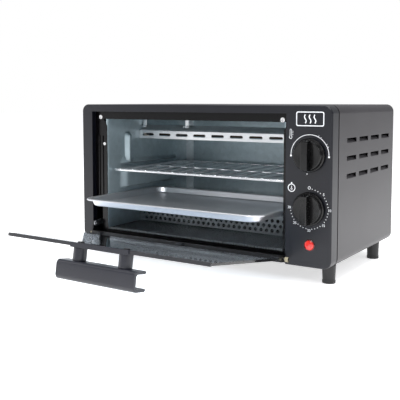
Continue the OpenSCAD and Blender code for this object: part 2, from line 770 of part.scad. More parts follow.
// Flat link from the door's ear, through the notch, to the spring
module stay_link() {
    color([0.7, 0.7, 0.7]) translate([0, stay_y, stay_z]) rotate([stay_tilt, 0, 0]) difference() {
        union() {
            xrod(stay_x, 0, 0, stay_w/2);
            block(stay_x, [0, stay_len], [-stay_w/2, stay_w/2]);
            xrod(stay_x, stay_len, 0, stay_w/2);
        }
        xrod([stay_x[0] - 1, stay_x[1] + 1], 0, 0, stay_pin_r + turn_gap);
        xrod([stay_x[0] - 1, stay_x[1] + 1], stay_len, 0, 1.2);
    }
}

// Close-wound spring from the link's far end to its anchor, shown as its outer tube
anchor = [stay_y + stay_reach[0] + 78, 12];
spring_r = 3.2;
module stay_spring() {
    y0 = stay_y + stay_reach[0] + 4;
    z0 = stay_z + stay_reach[1] - 2;
    run = norm([anchor[0] - 4 - y0, anchor[1] + 2 - z0]);
    tilt = atan2(anchor[1] + 2 - z0, anchor[0] - 4 - y0);
    color([0.6, 0.6, 0.6]) translate([(stay_x[0] + stay_x[1])/2, y0, z0]) rotate([tilt, 0, 0])
        rotate([-90, 0, 0]) difference() {
            cylinder(h = run, r = spring_r);
            translate([0, 0, -1]) cylinder(h = run + 2, r = spring_r - 0.9);
        }
}

// Bent tab on the base plate that holds the spring's fixed end
module stay_anchor() {
    color([0.3, 0.3, 0.32]) {
        block([stay_x[0], stay_x[1] + 8], [anchor[0], anchor[0] + 8], [sheet_t, 2*sheet_t]);
        block([stay_x[0], stay_x[1]], [anchor[0], anchor[0] + 8], [2*sheet_t, anchor[1] + 4]);
    }
}

// ---- Controls ----

// Knob with a skirt, a drum and a straight grip bar, pressed on its shaft
module knob(z) {
    y = front_y - knob_gap;
    r = knob_d/2;
    difference() {
        union() {
            yrod(control_x, [y - 3, y], z, r);
            yrod(control_x, [y - 8, y - 3], z, r - 1.6);
            intersection() {
                block([control_x - 5, control_x + 5], [y - knob_h + knob_gap, y - 8], [z - r, z + r]);
                yrod(control_x, [y - knob_h - 1, y], z, r - 1.6);
            }
        }
        yrod(control_x, [y - 12, y + 1], z, shaft_d/2);
    }
}

module thermostat_knob() { color([0.05, 0.05, 0.06]) knob(thermostat_z); }
module timer_knob() { color([0.05, 0.05, 0.06]) knob(timer_z); }

module control_shaft(z) {
    color([0.72, 0.7, 0.6]) yrod(control_x, [front_y - knob_gap - 12, control_y - turn_gap], z, shaft_d/2);
}
module thermostat_shaft() { control_shaft(thermostat_z); }
module timer_shaft() { control_shaft(timer_z); }

control_y = front_y + fascia_wall + 12;

// Terminal blades
blade_half = 1.4;
blade_t = 0.8;

// Bimetal thermostat: bracket, ceramic block and two terminal blades
module thermostat_body() {
    x = control_x;
    z = thermostat_z;
    color([0.85, 0.82, 0.75]) difference() {
        union() {
            block([x - 17, x + 17], [control_y - 9, control_y - 7.8], [z - 14, z + 14]);
            block([x - 13, x + 13], [control_y - 7.8, control_y + 14], [z - 12, z + 12]);
            for (s = [-1, 1]) block([x + s*8 - 2*blade_half, x + s*8 + 2*blade_half],
                [control_y + 14, control_y + 24], [z - blade_t/2, z + blade_t/2]);
        }
        yrod(x, [control_y - 10, control_y], z, shaft_d/2 + turn_gap);
    }
}

// Clockwork timer case with its mounting plate
module timer_body() {
    x = control_x;
    z = timer_z;
    color([0.75, 0.74, 0.68]) difference() {
        union() {
            block([x - 22, x + 22], [control_y - 9, control_y - 7.8], [z - 14, z + 14]);
            block([x - 21, x + 21], [control_y - 7.8, control_y + 20], [z - 20, z + 20]);
        }
        yrod(x, [control_y - 10, control_y], z, shaft_d/2 + turn_gap);
    }
}

// Domed bell struck when the time runs out
module timer_bell() {
    color([0.8, 0.72, 0.45]) {
        yrod(control_x, [control_y + 20, control_y + 30.5], timer_z, 2);
        difference() {
            yrod(control_x, [control_y + 23, control_y + 31], timer_z, 18);
            yrod(control_x, [control_y + 22.9, control_y + 30], timer_z, 17);
        }
    }
}

// Clear window and bezel of the pilot lamp
module lamp_lens() {
    color([0.9, 0.08, 0.05]) {
        yrod(lamp_x, [front_y - 2.2, front_y], lamp_z, lamp_d/2);
        yrod(lamp_x, [front_y, front_y + fascia_wall], lamp_z, lamp_d/2 - 1.2);
    }
}

module lamp_holder() {
    y = front_y + fascia_wall;
    color([0.9, 0.9, 0.88]) {
        yrod(lamp_x, [y, y + 18], lamp_z, lamp_d/2 - 2);
        for (s = [-1, 1]) block([lamp_x + s*3 - blade_half, lamp_x + s*3 + blade_half], [y + 18, y + 26],
            [lamp_z - blade_t/2, lamp_z + blade_t/2]);
    }
}

// Hexagon nuts that hold the two controls behind the panel
module control_nuts() {
    color([0.7, 0.7, 0.68]) for (z = [thermostat_z, timer_z]) difference() {
        translate([control_x, front_y + fascia_wall, z]) rotate([-90, 0, 0])
            cylinder(h = 2.8, r = 6.5, $fn = 6);
        yrod(control_x, [front_y, front_y + 10], z, shaft_hole_r);
    }
}

// Three-way terminal block on the base plate
module terminal_block() {
    color([0.9, 0.9, 0.86]) difference() {
        block([gland_x - 12, gland_x + 12], [back_y - 62, back_y - 46], [sheet_t, 14]);
        for (i = [-1:1]) zrod(gland_x + i*7.6, back_y - 54, [8, 15], 2.4);
    }
}

// Bushing for the mains lead, empty
module cord_gland() {
    color([0.05, 0.05, 0.05]) difference() {
        union() {
            yrod(gland_x, [back_y - sheet_t, back_y], gland_z, gland_r + 2);
            yrod(gland_x, [back_y - sheet_t - 9, back_y - sheet_t], gland_z, gland_r - 0.05);
        }
        yrod(gland_x, [back_y - 12, back_y + 1], gland_z, gland_bore_r);
    }
}

// ---- Feet and fasteners ----

// Four tapered feet, each with a ring at the bottom and a well for its screw
module feet() {
    color([0.05, 0.05, 0.05]) for (sx = [-1, 1], y = foot_ys) translate([sx*foot_x, y, 0]) difference() {
        union() {
            translate([0, 0, -foot_h + foot_ring_h])
                cylinder(h = foot_h - foot_ring_h, r1 = foot_r - 0.9, r2 = foot_r);
            translate([0, 0, -foot_h]) cylinder(h = foot_ring_h + eps, r = foot_r - 0.4);
        }
        translate([0, 0, -foot_h - 1]) cylinder(h = foot_h - 3, r = foot_well_r);
        translate([0, 0, -foot_h]) cylinder(h = foot_h + 1, r = shank_r);
    }
}

module foot_screws() {
    color([0.75, 0.75, 0.75]) for (sx = [-1, 1], y = foot_ys) {
        zrod(sx*foot_x, y, [-6, -4], 3.4);
        zrod(sx*foot_x, y, [-4, sheet_t + 3], shank_r);
    }
}

frame_screw_x = [recess_x0 + 10.4, recess_x1 - 8];
frame_screw_z = cav_z1 + 2.7;
side_screw_x = cav_x0 - 3.4;
side_screw_z = cav_z1 - 35;

// Bright screws in the black frame's upper corners and beside the cavity mouth
module frame_screws() {
    color([0.85, 0.85, 0.85]) {
        for (x = frame_screw_x) front_screw(x, recess_y, frame_screw_z);
        front_screw(side_screw_x, recess_y, side_screw_z, 2.2, 4);
    }
}

// Screws that hold the rear panel
module wrapper_screws() {
    color([0.6, 0.6, 0.6]) for (sx = [-1, 1], z = [22, body_h/2, body_h - 22])
        yrod(sx*(body_w/2 - 8), [back_y - sheet_t, back_y + 1], z, screw_r);
}

outer_wrapper();
rear_panel();
base_plate();
front_fascia();
panel_badge();
front_frame();
liner_left();
liner_right();
liner_back();
liner_roof();
liner_floor();
heat_shield();
upper_heater_rod();
lower_heater_rod();
heater_insulators();
upper_guard();
lower_guard();
guard_hooks();
crumb_tray();
wire_rack();
baking_tray();
door_glass();
door_rail();
hinge_pins();
hinge_bushes();
rail_clips();
door_edge_trim();
handle_base();
handle_posts();
handle_grip();
handle_screws();
stay_link();
stay_spring();
stay_anchor();
thermostat_knob();
thermostat_shaft();
thermostat_body();
timer_knob();
timer_shaft();
timer_body();
timer_bell();
lamp_lens();
lamp_holder();
terminal_block();
cord_gland();
feet();
foot_screws();
frame_screws();
wrapper_screws();
control_nuts();
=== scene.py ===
import json
import math

import bmesh
import bpy
from mathutils import Matrix, Vector


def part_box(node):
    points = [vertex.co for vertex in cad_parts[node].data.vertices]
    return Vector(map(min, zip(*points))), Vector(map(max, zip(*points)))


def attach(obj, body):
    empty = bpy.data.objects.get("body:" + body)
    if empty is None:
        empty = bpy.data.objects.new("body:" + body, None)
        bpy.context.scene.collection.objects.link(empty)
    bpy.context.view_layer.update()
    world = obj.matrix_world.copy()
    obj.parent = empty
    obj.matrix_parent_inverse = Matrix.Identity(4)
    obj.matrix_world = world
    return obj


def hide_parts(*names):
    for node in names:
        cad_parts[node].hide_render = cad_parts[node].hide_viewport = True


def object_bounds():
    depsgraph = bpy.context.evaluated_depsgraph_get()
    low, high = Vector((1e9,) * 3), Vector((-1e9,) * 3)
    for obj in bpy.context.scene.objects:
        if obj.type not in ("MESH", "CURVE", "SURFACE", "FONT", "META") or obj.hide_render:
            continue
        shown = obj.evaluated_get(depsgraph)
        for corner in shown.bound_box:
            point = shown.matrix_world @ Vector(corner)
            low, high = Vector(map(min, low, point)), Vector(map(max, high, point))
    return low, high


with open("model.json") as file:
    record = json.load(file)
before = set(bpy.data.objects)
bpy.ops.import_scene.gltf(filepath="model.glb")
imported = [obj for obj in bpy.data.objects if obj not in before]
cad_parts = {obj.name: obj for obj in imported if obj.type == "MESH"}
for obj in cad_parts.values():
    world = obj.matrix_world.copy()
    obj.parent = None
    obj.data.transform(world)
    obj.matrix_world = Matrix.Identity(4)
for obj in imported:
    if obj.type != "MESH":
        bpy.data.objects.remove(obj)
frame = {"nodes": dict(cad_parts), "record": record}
cad_low, cad_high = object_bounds()
mm = 0.001

# ---- Camera and room ----
# The oven stands on a plain pale floor in soft studio light, seen three-quarter from the controls' side
# and a little above them.

lens = bpy.data.cameras.new("camera")
lens.sensor_width = 36
lens.lens = 62.04
lens.shift_y = -0.12
camera = bpy.data.objects.new("camera", lens)
camera.location = (0.49, -0.8453, 0.1945)
camera.rotation_euler = (math.radians(85.78), 0, math.radians(33.09))
bpy.context.scene.collection.objects.link(camera)
bpy.context.scene.camera = camera
bpy.context.scene.view_settings.view_transform = "Standard"


def put(tree, kind, inputs=None, **settings):
    """Adds a node to a shader or geometry tree; an input is a value, another node or one of its outputs."""
    node = tree.nodes.new(kind)
    for setting, value in settings.items():
        setattr(node, setting, value)
    for socket, value in (inputs or {}).items():
        if isinstance(value, bpy.types.Node):
            value = value.outputs[0]
        if isinstance(value, bpy.types.NodeSocket):
            tree.links.new(value, node.inputs[socket])
        else:
            node.inputs[socket].default_value = value
    return node


def maths(tree, operation, first, second):
    """A sum, product or comparison of two values in a tree."""
    return put(tree, "ShaderNodeMath", {0: first, 1: second}, operation=operation)


def tone(red, green, blue):
    """A colour from its screen values, 0 to 255."""
    return tuple((value / 255) ** 2.2 for value in (red, green, blue)) + (1.0,)


def placed(name, data):
    """An object for some data, linked into the scene."""
    made = bpy.data.objects.new(name, data)
    bpy.context.scene.collection.objects.link(made)
    return made


def plain_sky(colour, strength):
    """An even sky that lights the oven softly and is plain white behind it."""
    sky = bpy.data.worlds.new("sky")
    sky.use_nodes = True
    tree = sky.node_tree
    lighting = tree.nodes["Background"]
    lighting.inputs["Color"].default_value = colour
    lighting.inputs["Strength"].default_value = strength
    backdrop = put(tree, "ShaderNodeBackground", {"Color": (1, 1, 1, 1), "Strength": 1.0})
    path = put(tree, "ShaderNodeLightPath")
    seen = maths(tree, "MAXIMUM", path.outputs["Is Camera Ray"], path.outputs["Is Transmission Ray"])
    choice = put(tree, "ShaderNodeMixShader", {0: seen, 1: lighting, 2: backdrop})
    tree.links.new(choice.outputs[0], tree.nodes["World Output"].inputs["Surface"])
    bpy.context.scene.world = sky


def softbox(name, at, towards, size, watts):
    light = bpy.data.lights.new(name, "AREA")
    light.shape = "RECTANGLE"
    light.size, light.size_y = size
    light.energy = watts
    lamp = placed(name, light)
    lamp.location = at
    lamp.rotation_euler = (Vector(towards) - Vector(at)).to_track_quat("-Z", "Y").to_euler()


plain_sky(tone(250, 251, 255), 0.5)
softbox("overhead softbox", (0.1, -0.35, 1.7), (0, -0.1, 0), (2.0, 1.8), 40)
softbox("front softbox", (0.25, -1.7, 1.25), (-0.02, 0, 0.09), (0.6, 0.5), 15)
softbox("left softbox", (-1.5, -0.9, 0.7), (0, 0, 0.1), (0.9, 1.4), 6)
softbox("right softbox", (1.5, 0.2, 1.2), (0.1, 0, 0.15), (1.0, 0.8), 7)

floor_mesh = bpy.data.meshes.new("floor")
floor_half = 9
floor_mesh.from_pydata([(x * floor_half, y * floor_half, cad_low.z)
                        for x, y in ((-1, -1), (1, -1), (1, 1), (-1, 1))], [], [(0, 1, 2, 3)])
floor = placed("floor", floor_mesh)
floor_paint = bpy.data.materials.new("pale floor")
floor_paint.use_nodes = True
for socket, value in (("Base Color", tone(246, 246, 247)), ("Roughness", 0.6),
                      ("Emission Color", (1, 1, 1, 1)), ("Emission Strength", 0.6)):
    floor_paint.node_tree.nodes["Principled BSDF"].inputs[socket].default_value = value
floor_mesh.materials.append(floor_paint)

# ---- Rear panel and base plate ----
# Flat sheets that close the wrapper's back and bottom, zinc-coated steel painted on the outside. The rear
# panel has a row of slots over the air gap and is held by six screws; the base carries the feet.


def own_place(tree):
    """A surface's place in its object's own coordinates."""
    return put(tree, "ShaderNodeTexCoord").outputs["Object"]


def feed(tree, source, shader, socket):
    """Links a node's first output, or the given output, to one of a shader's sockets."""
    tree.links.new(source.outputs[0] if isinstance(source, bpy.types.Node) else source, shader.inputs[socket])


def grain_group():
    """Fine and broad clouding over a surface, the fine one stretched along the direction of a finish."""
    group = bpy.data.node_groups.new("surface grain", "ShaderNodeTree")
    for label, kind, value in (("Fine", "NodeSocketFloat", 900.0), ("Broad", "NodeSocketFloat", 14.0),
                               ("Stretch", "NodeSocketVector", (1.0, 1.0, 1.0))):
        group.interface.new_socket(label, in_out="INPUT", socket_type=kind).default_value = value
    group.interface.new_socket("Fine", in_out="OUTPUT", socket_type="NodeSocketFloat")
    group.interface.new_socket("Broad", in_out="OUTPUT", socket_type="NodeSocketFloat")
    enter = group.nodes.new("NodeGroupInput")
    place = put(group, "ShaderNodeTexCoord")
    along = put(group, "ShaderNodeVectorMath", {0: place.outputs["Object"], 1: enter.outputs["Stretch"]},
                operation="MULTIPLY")
    fine = put(group, "ShaderNodeTexNoise", {"Vector": along, "Scale": enter.outputs["Fine"], "Detail": 3.0})
    broad = put(group, "ShaderNodeTexNoise", {"Vector": place.outputs["Object"],
        "Scale": enter.outputs["Broad"], "Detail": 2.0})
    put(group, "NodeGroupOutput", {"Fine": fine, "Broad": broad})
    return group


surface_grain = grain_group()


def finish(name, low, high, roughness, metallic=0.0, fine=900.0, broad=14.0, stretch=(1, 1, 1),
           relief=0.15, **plain):
    """A surface of two close tones, with a roughness that runs between two values and a fine relief."""
    made = bpy.data.materials.new(name)
    made.use_nodes = True
    tree = made.node_tree
    shader = tree.nodes["Principled BSDF"]
    shader.inputs["Metallic"].default_value = metallic
    for socket, value in plain.items():
        shader.inputs[socket.replace("_", " ")].default_value = value
    grain = put(tree, "ShaderNodeGroup", node_tree=surface_grain)
    grain.inputs["Fine"].default_value = fine
    grain.inputs["Broad"].default_value = broad
    grain.inputs["Stretch"].default_value = stretch
    spread = put(tree, "ShaderNodeMapRange", {"Value": grain.outputs["Broad"], "From Min": 0.3,
        "From Max": 0.7})
    mixed = put(tree, "ShaderNodeMix", {0: spread, 6: low, 7: high}, data_type="RGBA")
    feed(tree, mixed.outputs[2], shader, "Base Color")
    rough = put(tree, "ShaderNodeMapRange", {"Value": grain.outputs["Fine"], "From Min": 0.3,
        "From Max": 0.7, "To Min": roughness[0], "To Max": roughness[1]})
    feed(tree, rough, shader, "Roughness")
    bump = put(tree, "ShaderNodeBump", {"Height": grain.outputs["Fine"], "Strength": relief,
                                        "Distance": 0.02 * mm})
    feed(tree, bump, shader, "Normal")
    return made


def dress(material, *names):
    """Gives CAD nodes their finish."""
    for name in names:
        mesh = frame["nodes"][name].data
        mesh.materials.clear()
        mesh.materials.append(material)


def smoothed(mesh, sharp):
    """Smooth shading up to an angle."""
    mesh.shade_smooth()
    mesh.set_sharp_from_angle(angle=math.radians(sharp))
    return mesh


def evaluated(holder):
    """The plain mesh that an object's modifiers give; the object goes."""
    mesh = bpy.data.meshes.new_from_object(holder.evaluated_get(bpy.context.evaluated_depsgraph_get()))
    holder.modifiers.clear()
    bpy.data.objects.remove(holder)
    return mesh


weld_gap = 0.002 * mm


def finished(bm, name, sharp=32):
    """Turns built faces into a mesh, closed up, facing outwards and smooth up to an angle."""
    bmesh.ops.remove_doubles(bm, verts=bm.verts, dist=weld_gap)
    bmesh.ops.recalc_face_normals(bm, faces=bm.faces)
    mesh = bpy.data.meshes.new(name)
    bm.to_mesh(mesh)
    bm.free()
    return smoothed(mesh, sharp)


def evened(mesh):
    """Leans shading normals towards the larger faces, so flat sheet stays flat beside its rounded edges."""
    holder = placed(mesh.name, mesh)
    holder.modifiers.new("even normals", "WEIGHTED_NORMAL").keep_sharp = True
    return evaluated(holder)


def piece(name, mesh, body, material, slot, *stands_for):
    """Adds a finished mesh that moves with a body and stands for CAD nodes."""
    mesh.materials.clear()
    mesh.materials.append(material)
    made = placed(name, evened(mesh))
    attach(made, body)
    if stands_for:
        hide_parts(*stands_for)
    return made


def softened(node, radius, steps=2, over=40, wide=None):
    """A CAD node's own shape with its edges rounded; wide gives the edges that pass a test another radius."""
    bm = bmesh.new()
    bm.from_mesh(frame["nodes"][node].data)
    bmesh.ops.remove_doubles(bm, verts=bm.verts, dist=weld_gap)
    bmesh.ops.dissolve_limit(bm, angle_limit=math.radians(1), verts=bm.verts, edges=bm.edges)
    edges = [e for e in bm.edges if len(e.link_faces) == 2 and e.calc_face_angle(0) > math.radians(over)]
    if wide:
        chosen = [e for e in edges if all(wide[0](v.co) for v in e.verts)]
        bmesh.ops.bevel(bm, geom=chosen, offset=wide[1], segments=5, profile=0.5, affect="EDGES",
                        clamp_overlap=True)
        edges = [e for e in edges if e.is_valid and len(e.link_faces) == 2
                 and e.calc_face_angle(0) > math.radians(over)]
    bmesh.ops.bevel(bm, geom=edges, offset=radius, segments=steps, profile=0.5, affect="EDGES",
                    clamp_overlap=True)
    return finished(bm, node)


def rounded_piece(name, node, radius, body, material, slot, steps=2):
    """A piece made of one CAD node's shape with its edges rounded."""
    piece(name, softened(node, radius, steps), body, material, slot, node)


wrapper_paint = finish("wrapper paint", tone(38, 36, 39), tone(44, 42, 45), (0.34, 0.42), fine=1400.0,
                       relief=0.25, Specular_IOR_Level=0.45)
plate_paint = finish("plate paint", tone(66, 66, 68), tone(78, 78, 80), (0.4, 0.5), metallic=0.3)
screw_steel = finish("screw steel", tone(205, 205, 205), tone(225, 225, 226), (0.18, 0.28), metallic=1.0,
                     fine=2500.0)
rounded_piece("rear_panel_sheet", "rear_panel", 0.2 * mm, "cabinet", wrapper_paint, "wrapper_paint", 1)
dress(plate_paint, "base_plate", "stay_anchor")
rounded_piece("rear_panel_screws", "wrapper_screws", 0.5 * mm, "cabinet", screw_steel, "screw_steel")

# ---- Cavity walls ----
# Galvanised sheet pressed with long ledges for the tray, the rack and against tipping, an upright bead and
# small spot-weld dimples. The side walls are welded to a flat back, roof and floor.

left_low, left_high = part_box("liner_left")
ledge_depth, tip_depth = 7 * mm, 6 * mm
ledge_start, ledge_end = left_low.y + 25 * mm, left_high.y - 30 * mm
rack_low, rack_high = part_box("wire_rack")
tray_low, tray_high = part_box("baking_tray")
ledge_rows = [  # bottom, top, depth, softness of the bottom and top shoulders
    (tray_high.z - 12 * mm, tray_high.z - 1.9 * mm, ledge_depth, 3 * mm, 2.5 * mm),
    (tray_high.z + 5 * mm, rack_low.z + 1 * mm, ledge_depth, 2 * mm, 2.5 * mm),
    (rack_high.z + 4.4 * mm, rack_high.z + 12 * mm, tip_depth, 2 * mm, 5 * mm)]
upright_bead = (ledge_start + 13 * mm, ledge_start + 27 * mm, rack_high.z + 4.4 * mm, left_high.z - 19.5 * mm)
dimples = [(36, -59), (36, -77), (50, -86), (36, -98)]
sheet = 0.8 * mm


def ramp(value, width):
    """Rises smoothly from 0 to 1 over a width."""
    share = min(max(value / width, 0.0), 1.0)
    return share * share * (3 - 2 * share)


def wall_relief(y, z):
    """How far the pressed side wall stands into the cavity."""
    out = 0.0
    for bottom, top, depth, under, over in ledge_rows:
        ends = ramp(y - ledge_start, 13 * mm) * ramp(ledge_end - y, 10 * mm)
        out = max(out, depth * ends * ramp(z - bottom, under) * ramp(top - z, over))
    y0, y1, z0, z1 = upright_bead
    out = max(out, tip_depth * ramp(y - y0, 5 * mm) * ramp(y1 - y, 5 * mm) * ramp(z - z0, 3 * mm)
              * ramp(z1 - z, 6 * mm))
    for dy, dz in dimples:
        reach = math.hypot(y - left_low.y - dy * mm, z - left_high.z - dz * mm)
        out = max(out, 1.8 * mm * ramp(4 * mm - reach, 3 * mm))
    lip = left_low.y + 2.5 * mm - y
    return out if lip < 0 else -lip * lip / (5 * mm)


def side_wall(face_x, inward):
    """A pressed wall as a closed sheet: the cavity side on a fine grid, the far side offset by the sheet."""
    columns, rows = 136, 110
    bm = bmesh.new()
    sides = []
    for back in (0.0, sheet):
        grid = []
        for i in range(columns + 1):
            y = left_low.y + (left_high.y - left_low.y) * i / columns
            grid.append([])
            for j in range(rows + 1):
                z = left_low.z + (left_high.z - left_low.z) * j / rows
                grid[-1].append(bm.verts.new((face_x + inward * (wall_relief(y, z) - back), y, z)))
        sides.append(grid)
    for grid in sides:
        for i in range(columns):
            for j in range(rows):
                bm.faces.new((grid[i][j], grid[i + 1][j], grid[i + 1][j + 1], grid[i][j + 1]))
    front, back = sides
    rim = [(i, 0) for i in range(columns)] + [(columns, j) for j in range(rows)]
    rim += [(i, rows) for i in range(columns, 0, -1)] + [(0, j) for j in range(rows, 0, -1)]
    for (a, b), (c, d) in zip(rim, rim[1:] + rim[:1]):
        bm.faces.new((front[a][b], front[c][d], back[c][d], back[a][b]))
    return bm


def slab(bm, low, high):
    """A box between two corners."""
    made = bmesh.ops.create_cube(bm, size=1.0)["verts"]
    low, high = Vector(low), Vector(high)
    for vert in made:
        vert.co = Vector(((low[k] + high[k]) / 2 + vert.co[k] * (high[k] - low[k])) for k in range(3))
    return made


def galvanised(name, low, high, roughness):
    """Zinc-coated sheet: large soft spangles over a fine rolled grain."""
    made = finish(name, low, high, roughness, metallic=0.6, fine=500.0, broad=9.0, stretch=(1, 1, 0.15),
                  relief=0.05)
    tree = made.node_tree
    shader = tree.nodes["Principled BSDF"]
    cells = put(tree, "ShaderNodeTexVoronoi", {"Vector": own_place(tree), "Scale": 160.0})
    mixed = next(n for n in tree.nodes if n.bl_idname == "ShaderNodeMix")
    speck = put(tree, "ShaderNodeMapRange", {"Value": cells.outputs["Color"], "To Min": 0.9, "To Max": 1.06})
    shade = put(tree, "ShaderNodeVectorMath", {0: mixed.outputs[2], "Scale": speck}, operation="SCALE")
    feed(tree, shade, shader, "Base Color")
    return made


def back_with_painted_shade():
    """Galvanised sheet with painted shade: darkened almost to black below the lower heater screen, plain
    higher up.
    """
    made = galvanised("back sheet with painted shade", tone(156, 172, 178), tone(176, 190, 195), (0.36, 0.44))
    tree = made.node_tree
    shader = tree.nodes["Principled BSDF"]
    height = put(tree, "ShaderNodeSeparateXYZ", {0: own_place(tree)})
    # Painted shade: the colour falls to nearly black below the screen's top, so its holes look dark.
    painted_shade = put(tree, "ShaderNodeMapRange", {"Value": height.outputs["Z"], "From Min": 36 * mm,
                                            "From Max": 56 * mm, "To Min": 0.03, "To Max": 1.0})
    unshaded = shader.inputs["Base Color"].links[0].from_socket
    shaded_back_colour = put(tree, "ShaderNodeVectorMath", {0: unshaded, "Scale": painted_shade}, operation="SCALE")
    feed(tree, shaded_back_colour, shader, "Base Color")
    return made


wall_zinc = galvanised("galvanised wall", tone(156, 172, 178), tone(176, 190, 195), (0.36, 0.44))
# The rear welding flanges take a lighter copy of the wall zinc: a painted highlight where they face the
# front.
lit_flange_zinc = galvanised("zinc flange with painted highlight", tone(206, 214, 218), tone(224, 230, 233), (0.3, 0.4))
floor_zinc = galvanised("dull floor sheet", tone(96, 100, 102), tone(122, 126, 128), (0.24, 0.34))
right_high_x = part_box("liner_right")[1].x
for name, face_x, inward in (("left", left_low.x + sheet, 1),
                             ("right", right_high_x - sheet, -1)):
    piece(f"{name}_cavity_wall", finished(side_wall(face_x, inward), f"{name} cavity wall", 40), "cabinet",
          wall_zinc, "galvanised", f"liner_{name}")
    flange = sorted((face_x + inward * 0.1 * mm, face_x + inward * 14 * mm))
    corner_strip = bmesh.new()
    slab(corner_strip, (flange[0], left_high.y - 1.2 * mm, left_low.z),
         (flange[1], left_high.y - 0.1 * mm, left_high.z))
    piece(f"{name}_welding_flange", finished(corner_strip, f"{name} welding flange"), "cabinet", lit_flange_zinc,
          "galvanised")
dress(wall_zinc, "liner_roof")
# The back sheet carries painted shade low down, behind the lower heater screen.
dress(back_with_painted_shade(), "liner_back")
dress(floor_zinc, "liner_floor")

# ---- Heaters ----
# Two straight rods with heat-stained steel sheaths cross the cavity in flanged ceramic collars. A bright
# bent guard with a row of slots hides the upper one, a perforated screen the lower one.


def heat_stained():
    """Steel tube with straw and blue bands along its length."""
    made = finish("heat-stained steel", tone(60, 56, 56), tone(70, 64, 60), (0.4, 0.55), metallic=0.8)
    tree = made.node_tree
    bands = put(tree, "ShaderNodeTexNoise", {"Vector": own_place(tree), "Scale": 18.0, "Detail": 1.0})
    stain = put(tree, "ShaderNodeValToRGB", {"Fac": bands})
    stain.color_ramp.elements[0].color = tone(40, 39, 44)
    stain.color_ramp.elements[1].color = tone(72, 62, 54)
    stain.color_ramp.elements[0].position, stain.color_ramp.elements[1].position = 0.38, 0.62
    tree.links.new(stain.outputs["Color"], tree.nodes["Principled BSDF"].inputs["Base Color"])
    return made


def vector(tree, **parts):
    """A vector in a tree from its X, Y and Z."""
    return put(tree, "ShaderNodeCombineXYZ", parts)


def new_tree(name, sizes):
    """An empty geometry tree with named inputs for its sizes and one for its material."""
    tree = bpy.data.node_groups.new(name, "GeometryNodeTree")
    kinds = {int: "NodeSocketInt", float: "NodeSocketFloat", tuple: "NodeSocketVector"}
    for label, value in sizes.items():
        tree.interface.new_socket(label, in_out="INPUT", socket_type=kinds[type(value)]).default_value = value
    tree.interface.new_socket("Finish", in_out="INPUT", socket_type="NodeSocketMaterial")
    tree.interface.new_socket("Geometry", in_out="OUTPUT", socket_type="NodeSocketGeometry")
    return tree, tree.nodes.new("NodeGroupInput").outputs


def close_tree(tree, shape, inputs):
    """Ends a tree: instances made real, doubles merged and the material set."""
    real = put(tree, "GeometryNodeRealizeInstances", {"Geometry": shape})
    merged = put(tree, "GeometryNodeMergeByDistance", {"Geometry": real, "Distance": weld_gap})
    painted = put(tree, "GeometryNodeSetMaterial", {"Geometry": merged, "Material": inputs["Finish"]})
    put(tree, "NodeGroupOutput", {"Geometry": painted})
    return tree


def grown(tree, name, sizes, material, place=None, sharp=32):
    """Runs a tree with its sizes and returns the plain mesh, moved to its place."""
    holder = placed(name, bpy.data.meshes.new(name))
    step = holder.modifiers.new(name, "NODES")
    step.node_group = tree
    for item in tree.interface.items_tree:
        if item.name in sizes:
            step[item.identifier] = sizes[item.name]
        if item.name == "Finish":
            step[item.identifier] = material
    mesh = evaluated(holder)
    mesh.transform(place or Matrix.Identity(4))
    return smoothed(mesh, sharp)


def pierced_sheet_tree():
    """A flat sheet with rows of round-ended holes, every other row shifted sideways."""
    tree, size = new_tree("pierced sheet", {
        "Width": 0.2, "Height": 0.02, "Thickness": 0.001, "Columns": 8, "Rows": 1, "Pitch": 0.03,
        "Row pitch": 0.01, "Shift": 0.0, "Hole width": 0.01, "Hole height": 0.005, "Hole corner": 0.002,
        "Corner steps": 4, "First hole": (0.0, 0.0, 0.0)})
    edge = put(tree, "GeometryNodeCurvePrimitiveQuadrilateral", {"Width": size["Width"],
        "Height": size["Height"]})
    hole = put(tree, "GeometryNodeCurvePrimitiveQuadrilateral", {"Width": size["Hole width"],
        "Height": size["Hole height"]})
    hole = put(tree, "GeometryNodeFilletCurve", {"Curve": hole, "Count": size["Corner steps"],
        "Radius": size["Hole corner"]}, mode="POLY")
    across = vector(tree, X=size["Pitch"])
    up = vector(tree, Y=size["Row pitch"])
    row = put(tree, "GeometryNodeMeshLine", {"Count": size["Columns"], "Offset": across})
    stack = put(tree, "GeometryNodeMeshLine", {"Count": size["Rows"], "Offset": up,
        "Start Location": size["First hole"]})
    odd = maths(tree, "MODULO", put(tree, "GeometryNodeInputIndex"), 2.0)
    aside = maths(tree, "MULTIPLY", odd, size["Shift"])
    moved = put(tree, "GeometryNodeSetPosition", {"Geometry": stack, "Offset": vector(tree, X=aside)})
    field = put(tree, "GeometryNodeInstanceOnPoints", {"Points": moved, "Instance": row})
    field = put(tree, "GeometryNodeRealizeInstances", {"Geometry": field})
    holes = put(tree, "GeometryNodeInstanceOnPoints", {"Points": field, "Instance": hole})
    holes = put(tree, "GeometryNodeRealizeInstances", {"Geometry": holes})
    lines = put(tree, "GeometryNodeJoinGeometry")
    tree.links.new(edge.outputs[0], lines.inputs[0])
    tree.links.new(holes.outputs[0], lines.inputs[0])
    plate = put(tree, "GeometryNodeFillCurve", {"Curve": lines})
    raised = put(tree, "GeometryNodeExtrudeMesh", {"Mesh": plate, "Offset Scale": size["Thickness"],
        "Individual": False})
    under = put(tree, "GeometryNodeFlipFaces", {"Mesh": plate})
    whole = put(tree, "GeometryNodeJoinGeometry")
    tree.links.new(raised.outputs[0], whole.inputs[0])
    tree.links.new(under.outputs[0], whole.inputs[0])
    return close_tree(tree, whole, size)


def upright(x, y, z):
    """Stands a flat sheet up to face the front, with its middle at a place."""
    return Matrix.Translation((x, y, z)) @ Matrix.Rotation(math.radians(90), 4, "X")


def joined(name, *meshes, sharp=32):
    """One mesh from several."""
    bm = bmesh.new()
    for mesh in meshes:
        bm.from_mesh(mesh)
    made = bpy.data.meshes.new(name)
    bm.to_mesh(made)
    bm.free()
    return smoothed(made, sharp)


